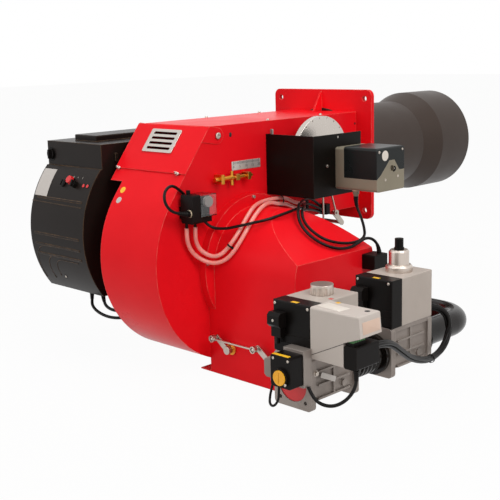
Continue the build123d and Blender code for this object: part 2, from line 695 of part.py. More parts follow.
def gas_manifold():
    """Riser through the duct floor to the sleeve that feeds and guides the gas tube."""
    z1 = THROTTLE_Z + THROTTLE_HALF
    outer = HEAD_TUBE_R + SLIDE + SLEEVE_WALL
    riser = rod_z(0, THROTTLE_Y, PIPE_R, z1, 0)
    floor = DUCT_FLOOR + CASE_WALL
    riser += rod_z(0, THROTTLE_Y, PORT_R, floor, floor + 8)
    riser -= rod_z(0, THROTTLE_Y, PIPE_R - PIPE_WALL, z1 - 1, 1)
    riser += rod_y(0, 0, outer, *SLEEVE_Y)
    return riser - rod_y(0, 0, HEAD_TUBE_R + SLIDE, SLEEVE_Y[0] - 1, SLEEVE_Y[1] + 1)


def firing_head():
    """Gas tube, swirl plate, nozzle cup and ignition electrodes, which slide as one."""
    end = HEAD_TUBE_END
    tube = rod_y(0, 0, HEAD_TUBE_R, SLEEVE_Y[0] - HEAD_TRAVEL, end)
    tube -= rod_y(0, 0, HEAD_TUBE_R - PIPE_WALL, SLEEVE_Y[0], end + 1)
    slot = rod_z(0, THROTTLE_Y, PIPE_R - PIPE_WALL, -HEAD_TUBE_R - 1, 0)
    tube -= slot
    plate = rod_y(0, 0, DIFFUSER_R, end - 8, end - 5)
    vane = block((HEAD_TUBE_R + 12, DIFFUSER_R - 12), (end - 9, end - 4), (-3, 3))
    for step in range(12):
        plate -= Rot(0, 30 * step, 0) * vane
    tube += plate - rod_y(0, 0, HEAD_TUBE_R - PIPE_WALL, end - 9, end - 4)
    cup = rod_y(0, 0, DIFFUSER_R, end - 8, end + 22) - rod_y(0, 0, DIFFUSER_R - 2.5, end - 9, end + 23)
    tube += cup
    for x in (-14, 14):
        tube += rod_y(x, HEAD_TUBE_R + 10, 4, end - 70, end + 16)
    bar_x = HEAD_ROD_X - 7
    arm = rod_x(HEAD_SLOT_Y, HEAD_ROD_Z, 4, 0, bar_x)
    arm += rod_y(0, HEAD_ROD_Z, 5, HEAD_SLOT_Y - 4, SLEEVE_Y[0] - HEAD_TRAVEL + 1)
    return tube + arm


def head_rod():
    """Brass adjusting rod on the casing wall with its pointer."""
    y0, y1 = HEAD_ROD_Y
    step = HEAD_POINTER_Y
    rod = rod_y(HEAD_ROD_X, HEAD_ROD_Z, 6, y0, step)
    rod += rod_y(HEAD_ROD_X, HEAD_ROD_Z, 4, step, y1)
    rod += rod_z(HEAD_ROD_X, step - 4, 4.5, HEAD_ROD_Z - 18, HEAD_ROD_Z + 16)
    rod += block((HEAD_ROD_X - 7, HEAD_ROD_X + 7), (HEAD_SLOT_Y - 6, HEAD_SLOT_Y + 6),
                 (HEAD_ROD_Z - 7, HEAD_ROD_Z + 7))
    return rod


HEAD_ROD_Y = (-570.0, -444.0)
HEAD_POINTER_Y = -509.0
GUIDE_Y = (-460.0, -552.0)


def brass_bushings():
    """Flanged bushes of the damper shafts and the servo shaft, and the head rod's guides."""
    y0 = FAN_Y - BOX_HALF
    y1 = FAN_Y + BOX_HALF
    group = []
    for x in DAMPER_X:
        for wall, out in ((y0, -1), (y1, 1)):
            inner = wall - out * (BOX_WALL + BUSH_IN - 1)
            outer = wall + out * BUSH_OUT
            bush = rod_y(x, DAMPER_Z, BUSH_R, min(inner, outer), max(inner, outer))
            edge = wall + out * 4
            bush += rod_y(x, DAMPER_Z, BUSH_R + 4, min(wall, edge), max(wall, edge))
            group.append(bush - rod_y(x, DAMPER_Z, DAMPER_R + RUN, y0 - 20, y1 + 20))
    block_x = (CASE_RIGHT, CASE_RIGHT + 9)
    bearing = rod_x(SERVO_AXIS_Y, SERVO_AXIS_Z, SERVO_SHAFT_R + 7, *block_x)
    group.append(bearing - rod_x(SERVO_AXIS_Y, SERVO_AXIS_Z, SERVO_SHAFT_R + RUN, block_x[0] + 1.5, 140))
    for y, r in zip(GUIDE_Y, (4, 6)):
        guide = block((CASE_RIGHT, HEAD_ROD_X + r + 5), (y - 5, y + 5),
                      (HEAD_ROD_Z - r - 5, HEAD_ROD_Z + r + 5))
        group.append(guide - rod_y(HEAD_ROD_X, HEAD_ROD_Z, r + SLIDE, y - 6, y + 6))
    return Compound(children=group)


# Inspection cover

def cover_plane():
    """Plane of the slanted rear panel: origin at its top edge, x along +X, y up the slope."""
    _, angle = slant_tangent()
    return Plane(origin=(0, CASE_REAR_Y, CASE_TOP), x_dir=(1, 0, 0),
                 z_dir=(0, cos(angle), sin(angle)))


def slope_length():
    _, angle = slant_tangent()
    return (CASE_TOP - COVER_FOOT_Z) / sin(angle - pi / 2)


def inspection_cover():
    """Slanted cover plate that swings up on two ears at its top corners."""
    plane = cover_plane()
    long = slope_length()
    x0 = CASE_LEFT - SLIDE - COVER_THICK
    x1 = CASE_RIGHT + SLIDE + COVER_THICK
    sheet = Pos((x0 + x1) / 2, -(long + COVER_TOP_GAP) / 2) * Rectangle(x1 - x0, long - COVER_TOP_GAP)
    hole = Pos(GRILLE_X, -GRILLE_DOWN) * Rectangle(GRILLE_SIZE[0] - 12, GRILLE_SIZE[1] - 12)
    plate = extrude(plane.offset(COVER_STAND) * (sheet - hole), COVER_THICK)
    edge = plane.offset(COVER_STAND).from_local_coords(Vector(0, 0, 0))
    lower = plane.offset(COVER_STAND).from_local_coords(Vector(0, -EAR_DOWN, 0))
    ear = make_hull([*(Pos(PIN_Y, PIN_Z) * Circle(EAR_R)).edges(),
                     *Polyline((edge.Y, edge.Z), (lower.Y, lower.Z)).edges()])
    ear -= Pos(PIN_Y, PIN_Z) * Circle(PIN_R + RUN)
    plate += slab_x(ear, x1 - COVER_THICK, x1) + slab_x(ear, x0, x0 + COVER_THICK)
    return plate


COVER_TOP_GAP = 3.0   # the cover's top edge stays clear of the casing as it swings
GRILLE_X = -10.0
GRILLE_DOWN = 51.0
GRILLE_SIZE = (110.0, 66.0)
GRILLE_SLOTS = 4
EAR_DOWN = 46.0


def vent_grille():
    """Pressed louvre plate with four slots on the inspection cover."""
    plane = cover_plane().offset(COVER_STAND + COVER_THICK)
    width, height = GRILLE_SIZE
    plate = extrude(plane * Pos(GRILLE_X, -GRILLE_DOWN) * RectangleRounded(width, height, 4), 3)
    pitch = height / (GRILLE_SLOTS + 0.6)
    for step in range(GRILLE_SLOTS):
        at = -GRILLE_DOWN - pitch * (step - (GRILLE_SLOTS - 1) / 2)
        slot = plane * Pos(GRILLE_X, at) * SlotOverall(width - 24, pitch * 0.5)
        plate -= extrude(slot, 4)
    return plate


# Control hood

def hood_face(inset):
    """Hood outline in (Y, Z): a round back under a stepped top box."""
    r = HOOD_R - inset
    floor = HOOD_FLOOR + inset
    step = HOOD_STEP_Z - inset
    start = (HOOD_Y - sqrt(r * r - (step - HOOD_Z) ** 2), step)
    stop = (HOOD_Y - sqrt(r * r - (floor - HOOD_Z) ** 2), floor)
    front = HOOD_FRONT_Y - inset
    rear = HOOD_BOX_Y + inset
    edges = Polyline(stop, (front, floor), (front, HOOD_TOP - inset), (rear, HOOD_TOP - inset),
                     (rear, step), start).edges()
    edges += ThreePointArc(start, (HOOD_Y - r, HOOD_Z), stop).edges()
    return make_face(edges)


def control_hood():
    """Black moulded hood over the motor and controls, with ribs and a raised lid."""
    x0, x1 = HOOD_X
    shell = slab_x(hood_face(0), x0, x1)
    shell = fillet([e for e in shell.edges() if abs(e.center().X - x0) < 0.1
                    and e.center().Y < HOOD_FRONT_Y - 1], 6)
    shell -= slab_x(hood_face(HOOD_WALL), x0 + HOOD_WALL, x1 - HOOD_WALL)
    fins = MOTOR_R + SEAT
    shell -= rod_x(FAN_Y, FAN_Z, fins, x1 - HOOD_WALL - 1, x1 + 1)
    for angle in HOOD_RIBS:
        shell += hood_rib(angle, x0 + 22, x1 - 20)
    lid = block(HOOD_LID_X, HOOD_LID_Y, (HOOD_TOP, HOOD_TOP + HOOD_LID_H))
    lid = fillet(lid.edges().filter_by(Axis.Z) + [e for e in lid.edges() if e.center().Z > HOOD_TOP + HOOD_LID_H - 1], 3)
    for x, angle in HOOD_CONTROLS:
        shell -= hood_hole(x, angle, CONTROL_STEM_R + SLIDE)
    shell -= rod_y(MAIN_SWITCH[0], MAIN_SWITCH[1], CONTROL_STEM_R + SLIDE, HOOD_BOX_Y - 1,
                   HOOD_BOX_Y + HOOD_WALL + 1)
    return shell + lid


HOOD_RIBS = (21.0, -0.5, -7.0, -13.0)
HOOD_LID_X = (-338.0, -244.0)
HOOD_LID_Y = (-627.0, -400.0)
HOOD_LID_H = 15.0
HOOD_CONTROLS = ((-282.0, 31.0), (-252.0, 33.0), (-231.0, 31.0))
MAIN_SWITCH = (-380.0, 36.0)
CONTROL_STEM_R = 4.0


def hood_spot(x, angle, out):
    """Place on the round back of the hood, out from its surface, facing outwards."""
    a = radians(180 - angle)
    r = HOOD_R + out
    normal = (0, cos(a), sin(a))
    return Plane(origin=(x, HOOD_Y + r * cos(a), HOOD_Z + r * sin(a)), x_dir=(1, 0, 0), z_dir=normal)


def hood_hole(x, angle, r):
    return extrude(hood_spot(x, angle, 2) * Circle(r), -HOOD_WALL - 4)


def hood_rib(angle, x0, x1):
    """Low rounded bead across the back of the hood."""
    plane = hood_spot((x0 + x1) / 2, angle, -1)
    return extrude(plane * SlotOverall(x1 - x0, 5), 2.2)


def knob(x, angle, r, height):
    """Ribbed knob on a stem through the hood's back."""
    plane = hood_spot(x, angle, SLIDE)
    piece = extrude(plane * Circle(r), height, taper=4)
    piece += extrude(plane * Circle(CONTROL_STEM_R), -HOOD_WALL - 6)
    return piece


def selector_knob():
    x, angle = HOOD_CONTROLS[2]
    piece = knob(x, angle, 9, 10)
    grip = extrude(hood_spot(x, angle, SLIDE) * Rectangle(5, 17), 15)
    return piece + grip


def main_switch():
    x, z = MAIN_SWITCH
    y = HOOD_BOX_Y - SLIDE
    piece = rod_y(x, z, 14, y - 5, y)
    piece += block((x - 3, x + 3), (y - 11, y - 4), (z - 12, z + 12))
    return piece + rod_y(x, z, CONTROL_STEM_R, y, y + HOOD_WALL + 6)


def red_button():
    """Red reset button: its stem slides in the hood, its cap stands proud by the travel."""
    x, angle = HOOD_CONTROLS[1]
    plane = hood_spot(x, angle, BUTTON_TRAVEL + SLIDE)
    piece = extrude(plane * Circle(11), 9, taper=8)
    return piece + extrude(plane * Circle(CONTROL_STEM_R), -HOOD_WALL - 8)


BUTTON_TRAVEL = 3.0


# Gas train

def valve_body(span):
    """Cast valve body with end flanges, ribs, a cover pad and the gas way."""
    y0, y1 = span
    x0 = TRAIN_X - VALVE_HALF
    x1 = TRAIN_X + VALVE_HALF
    body = block((x0 + 7, x1 - 7), span, (VALVE_BOTTOM + 8, VALVE_TOP))
    body = chamfer([e for e in body.edges().filter_by(Axis.Y) if e.center().Z < VALVE_BOTTOM + 9], 16)
    for y in (y0, y1 - VALVE_FLANGE):
        end = block((x0, x1), (y, y + VALVE_FLANGE), (VALVE_BOTTOM, VALVE_TOP))
        body += fillet([e for e in end.edges().filter_by(Axis.Y)], 9)
    for z in (-380.0, -352.0, -324.0):
        body += block((x0 + 2, x1 - 2), (y0 + VALVE_FLANGE + 12, y1 - VALVE_FLANGE - 12), (z - 2, z + 2))
    middle = (y0 + y1) / 2
    body += block((x0 + 3, x1 - 3), (middle - 2.5, middle + 2.5), (VALVE_BOTTOM + 22, VALVE_TOP))
    for low, high in ((x0 + 1, x0 + 8), (x1 - 8, x1 - 1)):
        body += rod_x(middle + 30, -366.0, 7, low, high)
    body += block((x0 + 2, x1 - 2), (y0 + 4, y1 - 4), (VALVE_TOP - 10, VALVE_TOP))
    body -= rod_y(TRAIN_X, TRAIN_Z, PIPE_R, y0 - 1, y1 + 1)
    return body


VALVE_FLANGE = 14.0
FLANGE_SCREW = 33.0
FLANGE_SCREW_R = 4.2


def valve_body_1():
    body = valve_body(VALVE_1_Y)
    for x, z in inlet_screws():
        body -= rod_y(x, z, FLANGE_SCREW_R, VALVE_1_Y[0] - 1, VALVE_1_Y[0] + VALVE_FLANGE)
    body -= rod_y(TRAIN_X, TRAIN_Z, CAP_R + SEAT, VALVE_1_Y[0] - 1, VALVE_1_Y[0] + 8)
    pad_y = (VALVE_1_Y[0] - SWITCH_PAD, VALVE_1_Y[0])
    pad = block(SWITCH_X, pad_y, SWITCH_Z)
    pad += block((SWITCH_X[1] - SWITCH_LEG, SWITCH_X[1]), pad_y, (SWITCH_LEG_Z, SWITCH_Z[1]))
    return body + pad


def inlet_screws():
    return [(TRAIN_X + sx * FLANGE_SCREW, TRAIN_Z + sz * FLANGE_SCREW) for sx in (-1, 1) for sz in (-1, 1)]


CAP_R = 36.0
SWITCH_X = (590.0, 642.0)
SWITCH_Z = (-312.0, -270.0)
SWITCH_LEG = 13.0
SWITCH_LEG_Z = -344.0
SWITCH_PAD = 23.0


def inlet_cap():
    """Red plastic plug that closes the gas inlet for transport."""
    y0 = VALVE_1_Y[0]
    cap = rod_y(TRAIN_X, TRAIN_Z, CAP_R, y0 + 2, y0 + 8)
    cap += rod_y(TRAIN_X, TRAIN_Z, PIPE_R - SEAT, y0 + 8, y0 + 24)
    return cap - rod_y(TRAIN_X, TRAIN_Z, PIPE_R - 3, y0 + 10, y0 + 25)


def valve_coil(span):
    """Grey magnet housing on a valve body."""
    x0 = TRAIN_X - VALVE_HALF
    x1 = TRAIN_X + VALVE_HALF
    coil = block((x0, x1), (span[0] + COIL_COVER, span[1]), (VALVE_TOP, COIL_TOP))
    edges = coil.edges().filter_by(Axis.Z) + [e for e in coil.edges() if e.center().Z > COIL_TOP - 1]
    return fillet(edges, 2.5)


def coil_cover(span):
    """Black connection cover on the rear of a magnet housing."""
    x0 = TRAIN_X - VALVE_HALF
    x1 = TRAIN_X + VALVE_HALF
    cover = block((x0, x1), (span[0], span[0] + COIL_COVER), (VALVE_TOP, COIL_TOP))
    edges = [e for e in cover.edges() if e.center().Y < span[0] + 1]
    cover = fillet(edges, 3)
    for z in (VALVE_TOP + 22, VALVE_TOP + 38):
        cover -= block((x0 - 1, x1 + 1), (span[0] - 1, span[0] + 1), (z, z + 1.5))
    return cover


def connector_plugs():
    """Black plugs on the two valves and the wall, and the grey plug of the gas switch."""
    group = []
    x0 = TRAIN_X - VALVE_HALF + 4
    for span in (VALVE_1_Y, VALVE_2_Y):
        y = span[0]
        plug = block((x0, x0 + 31), (y - 22, y), (-238.0, -208.0))
        plug = chamfer([e for e in plug.edges().filter_by(Axis.X) if e.center().Y < y - 21], 6)
        plug += block((x0 + 3, x0 + 28), (y - 14, y), (-258.0, -238.0))
        group.append(plug + rod_z(x0 + 15.5, y - 8, 4.5, -272.0, -258.0))
    box = block(WALL_PLUG_X, WALL_PLUG_Y, WALL_PLUG_Z)
    group.append(fillet(box.edges().filter_by(Axis.X), 3))
    grey = block((SWITCH_BODY_X - 25, SWITCH_BODY_X), (VALVE_1_Y[0] - 50, VALVE_1_Y[0] - 27), (-328.0, -290.0))
    grey = chamfer(grey.edges().filter_by(Axis.Y), 5)
    group.append(grey + rod_z(SWITCH_BODY_X - 13, VALVE_1_Y[0] - 38, 5, -338.0, -328.0))
    group.append(wall_block(ENTRY_X, ENTRY_Y, ENTRY_Z))
    group.append(wall_block(TAPPING_X, TAPPING_Y, TAPPING_Z))
    return Compound(children=group)


def wall_block(span_x, span_y, span_z):
    """Moulded block on the duct wall, its outer edges eased."""
    base = block(span_x, span_y, span_z)
    return fillet([e for e in base.edges().filter_by(Axis.Z) if e.center().X > span_x[1] - 1], 4)


ENTRY_X = (CASE_RIGHT, CASE_RIGHT + 23.0)
ENTRY_Y = (-172.0, -152.0)
ENTRY_Z = (-146.0, -118.0)
TAPPING_X = (CASE_RIGHT, CASE_RIGHT + 12.0)
TAPPING_Y = (-240.0, -226.0)
TAPPING_Z = (-126.0, -100.0)


WALL_PLUG_X = (411.0, 449.0)
WALL_PLUG_Y = (-350.0, -300.0)
WALL_PLUG_Z = (-226.0, -190.0)


def gas_pipework():
    """Bellows between the valves, and the pipe from the second valve to the throttle."""
    y0 = VALVE_1_Y[1]
    y1 = VALVE_2_Y[0]
    rings = 6
    pitch = (y1 - y0 - 30) / rings
    profile = [(PIPE_R - PIPE_WALL, y0), (PORT_R, y0), (PORT_R, y0 + 10), (PIPE_R, y0 + 10)]
    for step in range(rings):
        low = y0 + 15 + step * pitch
        profile += [(PIPE_R, low + 1), (PIPE_R + 7, low + pitch * 0.35), (PIPE_R + 7, low + pitch * 0.65),
                    (PIPE_R, low + pitch - 1)]
    profile += [(PIPE_R, y1 - 10), (PORT_R, y1 - 10), (PORT_R, y1), (PIPE_R - PIPE_WALL, y1)]
    bellows = turned(profile, Pos(TRAIN_X, 0, TRAIN_Z) * Rot(-90, 0, 0))
    start = VALVE_2_Y[1]
    top = THROTTLE_Z - THROTTLE_HALF
    path = FilletPolyline((TRAIN_X, start, TRAIN_Z), (TRAIN_X, THROTTLE_Y, TRAIN_Z),
                          (0, THROTTLE_Y, TRAIN_Z), (0, THROTTLE_Y, top), radius=ELBOW_R)
    plane = Plane(origin=(TRAIN_X, start, TRAIN_Z), z_dir=(0, 1, 0))
    pipe = sweep(plane * (Circle(PIPE_R) - Circle(PIPE_R - PIPE_WALL)), path)
    flange = rod_y(TRAIN_X, TRAIN_Z, PORT_R, start, start + 12)
    flange += rod_z(0, THROTTLE_Y, PORT_R, top - 10, top)
    flange -= rod_y(TRAIN_X, TRAIN_Z, PIPE_R - 1, start - 1, start + 13)
    flange -= rod_z(0, THROTTLE_Y, PIPE_R - 1, top - 11, top + 1)
    return Compound(children=[bellows, pipe + flange])


def valve_1_knob():
    """Scalloped aluminium cap knob on the first valve."""
    y = (VALVE_1_Y[0] + COIL_COVER + VALVE_1_Y[1]) / 2
    knob_top = extrude(Pos(TRAIN_X, y, COIL_TOP + SLIDE) * Circle(24), 20, taper=2)
    for step in range(12):
        a = radians(30 * step)
        knob_top -= rod_z(TRAIN_X + 27.5 * cos(a), y + 27.5 * sin(a), 5.5, COIL_TOP - 1, COIL_TOP + 14)
    return knob_top


def hydraulic_brake():
    """Opening damper on the second valve: a wide foot and a tall cylinder."""
    y = (VALVE_2_Y[0] + COIL_COVER + VALVE_2_Y[1]) / 2
    profile = [(0, 0), (29.5, 0), (29.5, 11), (26, 15), (22, 15), (22, 44), (19, 48), (0, 48)]
    return turned(profile, Pos(TRAIN_X, y, COIL_TOP))


def valve_2_knob():
    y = (VALVE_2_Y[0] + COIL_COVER + VALVE_2_Y[1]) / 2
    z = COIL_TOP + 48 + SLIDE
    return rod_z(TRAIN_X, y, 9.5, z, z + 24) + rod_z(TRAIN_X, y, 11, z, z + 4)


TESTER = ((0, 104), (117, 104), (121, 63), (81, 48), (81, 0), (0, 2))
TESTER_DEPTH = 64.0
TERMINAL_X = (82.0, 112.0)
TERMINAL_Z = (-292.0, -247.0)


def leak_tester():
    """Grey valve-proving unit on the side of the first magnet housing."""
    x0 = TRAIN_X + VALVE_HALF
    face = polygon(*[(x0 + dx, VALVE_TOP + dz) for dx, dz in TESTER])
    unit = slab_y(face, VALVE_1_Y[0], VALVE_1_Y[0] + TESTER_DEPTH)
    top = VALVE_TOP + TESTER[0][1]
    edges = [e for e in unit.edges() if e.center().Z > top - 2 and e.center().X > x0 + 2]
    return fillet(edges, 4)


def terminal_box():
    """Black terminal box under the leak tester, with its green terminal strip."""
    x0 = TRAIN_X + VALVE_HALF + TERMINAL_X[0]
    x1 = TRAIN_X + VALVE_HALF + TERMINAL_X[1]
    y0 = VALVE_1_Y[0]
    z0, z1 = TERMINAL_Z
    box = block((x0, x1), (y0, y0 + TESTER_DEPTH + 4), (z0, z1))
    box = fillet(box.edges().filter_by(Axis.Y), 4)
    return box + block((x0 + 6, x0 + 20), (y0 + 4, y0 + 40), (z1 - 1, z1 + 6))


def gas_switch_body():
    """Black gas pressure switch with the round housing of its dial."""
    y0 = VALVE_1_Y[0] - SWITCH_PAD - 35
    body = block((SWITCH_BODY_X, SWITCH_BODY_X + 52), (y0, VALVE_1_Y[0] - SWITCH_PAD), (-339.0, -276.0))
    body = fillet(body.edges().filter_by(Axis.Y), 4)
    ring = rod_y(GAS_DIAL[0], GAS_DIAL[1], 18.5, y0 - 5, y0)
    return body + ring - rod_y(GAS_DIAL[0], GAS_DIAL[1], 15.3, y0 - 6, y0)


SWITCH_BODY_X = 588.0
GAS_DIAL = (615.0, -318.0)


def gas_dial():
    """Yellow setting dial of the gas pressure switch."""
    y0 = VALVE_1_Y[0] - SWITCH_PAD - 35
    dial = rod_y(GAS_DIAL[0], GAS_DIAL[1], 15, y0 - 7, y0 - SLIDE)
    return dial - block((GAS_DIAL[0] - 1, GAS_DIAL[0] + 1), (y0 - 8, y0 - 6), (GAS_DIAL[1] - 10, GAS_DIAL[1] + 10))


AIR_SWITCH_X = (136.0, 178.0)
AIR_SWITCH_Y = (-676.0, -652.0)
AIR_SWITCH_Z = (-97.0, -30.0)
AIR_COVER_Y = -600.0
AIR_GLAND = (166.0, -72.0)
AIR_BRACKET_Y = (-672.0, -652.0)
AIR_BRACKET_Z = (-88.0, -60.0)
GLAND_OUT = 8.0
NIPPLES = ((146.0, -669.0), (150.0, -646.0))


def air_switch_base():
    """Black base of the air pressure switch with its wall bracket, stub and hose nipples."""
    x0, x1 = AIR_SWITCH_X
    z0, z1 = AIR_SWITCH_Z
    base = block(AIR_SWITCH_X, AIR_SWITCH_Y, AIR_SWITCH_Z)
    base = fillet(base.edges().filter_by(Axis.Y), 5)
    base += block((x0, x1 - 6), (AIR_SWITCH_Y[1] - 1, AIR_COVER_Y - 12), (z0, z0 + 14))
    base += block((CASE_RIGHT, x0 + 1), AIR_BRACKET_Y, AIR_BRACKET_Z)
    base += rod_z(x0 + 14, AIR_SWITCH_Y[0] + 12, 5, z1, z1 + 10)
    for x, y in NIPPLES:
        base += rod_z(x, y, 3.5, z0 - 12, z0 + 1)
    base += rod_y(*AIR_GLAND, 8.5, AIR_SWITCH_Y[0] - GLAND_OUT, AIR_SWITCH_Y[0] + 1)
    return base


def air_switch_cover():
    """Clear hood over the works of the air pressure switch."""
    x0, x1 = AIR_SWITCH_X
    z0, z1 = AIR_SWITCH_Z
    y0 = AIR_SWITCH_Y[1]
    hood = block((x0 + 1, x1 + 1), (y0, AIR_COVER_Y), (z0 + 14, z1 - 1))
    edges = [e for e in hood.edges() if e.center().Y > AIR_COVER_Y - 1]
    hood = fillet(edges, 4)
    return hood - block((x0 + 3, x1 - 1), (y0 - 1, AIR_COVER_Y - 2), (z0 + 16, z1 - 3))


def air_dial():
    """Grey setting dial under the clear hood."""
    x0, x1 = AIR_SWITCH_X
    z = (AIR_SWITCH_Z[0] + AIR_SWITCH_Z[1]) / 2 + 14
    y = AIR_COVER_Y - 22
    return rod_x(y, z, 13, x1 - 12, x1 - 4) + rod_x(y, z, 4, x0 + 12, x1 - 12)


def air_works():
    """Fixed block under the clear hood that carries the dial."""
    x0, x1 = AIR_SWITCH_X
    z = (AIR_SWITCH_Z[0] + AIR_SWITCH_Z[1]) / 2 + 14
    y = AIR_COVER_Y - 22
    works = block((x0 + 5, x0 + 24), (AIR_SWITCH_Y[1], y + 14), (AIR_SWITCH_Z[0] + 16, z + 16))
    return works - rod_x(y, z, 4 + RUN, x0 + 11, x0 + 25)


def socket_screw(at, r=4.0, height=4.0):
    """Round-head screw standing on a plane."""
    return extrude(at * Circle(r), height, taper=12)


def fasteners():
    """Visible screws of the casing, covers and valves, each its own solid."""
    group = []
    plane = cover_plane().offset(COVER_STAND + COVER_THICK)
    top = Plane(origin=(0, 0, CASE_TOP))
    for x, y in ((118.0, -358.0), (118.0, -154.0), (-110.0, -358.0), (-110.0, -154.0)):
        group.append(socket_screw(top * Pos(x, y)))
    collar = Plane(origin=(CASE_RIGHT + COLLAR_THICK, 0, 0), z_dir=(1, 0, 0), x_dir=(0, 1, 0))
    for angle in COLLAR_SCREWS:
        a = radians(angle)
        r = COLLAR_R - 6
        group.append(socket_screw(collar * Pos(FAN_Y + r * cos(a), FAN_Z + r * sin(a)), 5, 5))
    servo = Plane(origin=(CASE_RIGHT + CAM_BOX_LENGTH + SERVO_LENGTH, 0, 0), z_dir=(1, 0, 0), x_dir=(0, 1, 0))
    for y, z in ((SERVO_Y[0] + 9, SERVO_Z[1] - 7), (SERVO_Y[1] - 9, SERVO_Z[1] - 7)):
        group.append(socket_screw(servo * Pos(y, z), 3, 2))
    box = Plane(origin=(CASE_RIGHT + CAM_BOX_LENGTH, 0, 0), z_dir=(1, 0, 0), x_dir=(0, 1, 0))
    group.append(socket_screw(box * Pos(-325.0, 10.0), 4, 3))
    return Compound(children=group)


COLLAR_SCREWS = (91.0, 172.0)


# Cables and hoses: diameter and the corners of each route, from one fitting to the other

CORDS = {
    "air_switch_lead": (7.0, (
        (166, -684, -72), (163, -704, -69), (158, -728, -59), (153, -740, -36), (147, -732, -13),
        (139, -703, -3), (133, -669, -24), (130.5, -648, -43), (131, -626, -72), (132, -605, -100),
        (146, -588, -121), (172, -571, -122), (198, -564, -116), (238, -551, -105),
        (267, -524, -97), (274, -474, -89), (265, -411, -85), (243, -376, -90), (212, -335, -106),
        (176, -292, -114), (150, -256, -119), (148, -230, -124), (138, -202, -131),
        (134, -172, -139))),
    "servo_lead": (7.0, (
        (337, -279, -66), (338, -281, -86), (349, -278, -110), (372, -291, -137),
        (397, -320, -157), (402, -372, -161), (388, -413, -156), (368, -444, -143),
        (334, -450, -123), (304, -438, -107), (282, -419, -89), (258, -380, -83), (216, -339, -90),
        (181, -300, -98), (155, -262, -102), (144, -231, -109), (143, -201, -122),
        (143, -172, -134))),
    "wall_plug_lead": (7.0, (
        (436, -315, -190), (436, -318, -172), (428, -327, -155), (417, -343, -150),
        (410, -366, -162), (409, -398, -168), (398, -432, -165), (375, -463, -149),
        (341, -468, -129), (312, -461, -108), (288, -440, -86), (260, -403, -75), (221, -358, -86),
        (184, -319, -97), (153, -267, -92), (146, -234, -92), (137, -202, -106), (134, -172, -125))),
    "hose_a": (10.0, (
        (146, -669, -109), (144, -668, -127), (138, -660, -150), (137, -645, -174),
        (147, -627, -192), (167, -606, -202), (193, -593, -193), (215, -585, -170),
        (227, -567, -138), (226, -541, -110), (215, -504, -87), (200, -464, -76), (181, -421, -77),
        (166, -380, -87), (160, -342, -92), (139, -303, -105), (133, -270, -117),
        (133, -240, -120))),
    "hose_b": (10.0, (
        (150, -646, -109), (148, -645, -126), (142, -638, -148), (144, -627, -169),
        (160, -611, -184), (178, -600, -183), (194, -591, -169), (204, -575, -146),
        (206, -554, -124), (201, -527, -99), (190, -491, -78), (173, -454, -75), (165, -418, -73),
        (159, -374, -74), (153, -334, -80), (138, -298, -93), (133, -266, -104), (133, -240, -106))),
    "gas_switch_lead": (5.0, (
        (575, -838, -338), (574, -841, -352), (576, -849, -366), (582, -857, -380),
        (596, -860, -381), (604, -855, -368), (601, -850, -353), (600, -848, -339))),
    "terminal_lead": (7.0, (
        (745, -793, -292), (743, -788, -314), (731, -783, -340), (714, -787, -362),
        (694, -797, -375), (672, -807, -374), (654, -812, -362), (643, -812, -343))),
    "valve_leads": (16.0, (
        (737, -732, -262), (736, -704, -263), (729, -662, -275), (714, -610, -306),
        (690, -538, -346), (670, -446, -377), (656, -373, -374), (649, -338, -342),
        (646, -340, -300), (630, -364, -278), (616, -393, -275))),
    "hood_cable_1": (8.0, (
        (-225, -682, -318), (-221, -686, -335), (-206, -698, -350), (-172, -702, -362),
        (-136, -694, -370), (-106, -674, -370), (-86, -650, -364))),
    "hood_cable_2": (8.0, (
        (-180, -680, -318), (-176, -682, -333), (-158, -688, -346), (-132, -682, -354),
        (-106, -664, -352), (-86, -642, -344))),
}
CORNER_SHARE = 0.45     # of the shorter run at a corner, taken up by its arc


def cord(name):
    """Cable or hose: straight runs joined by arcs that touch them, swept as a round bar."""
    diameter, corners = CORDS[name]
    points = [Vector(*corner) for corner in corners]
    radii = []
    for before, at, after in zip(points, points[1:], points[2:]):
        run_in, run_out = at - before, after - at
        half_turn = radians(run_in.get_angle(run_out)) / 2
        radii.append(CORNER_SHARE * min(run_in.length, run_out.length) / tan(half_turn))
    path = FilletPolyline(*points, radius=radii)
    print(f"{name}: length {path.length:.0f}, least radius {min(radii):.0f}")
    return sweep(Plane(points[0], z_dir=points[1] - points[0]) * Circle(diameter / 2), path)


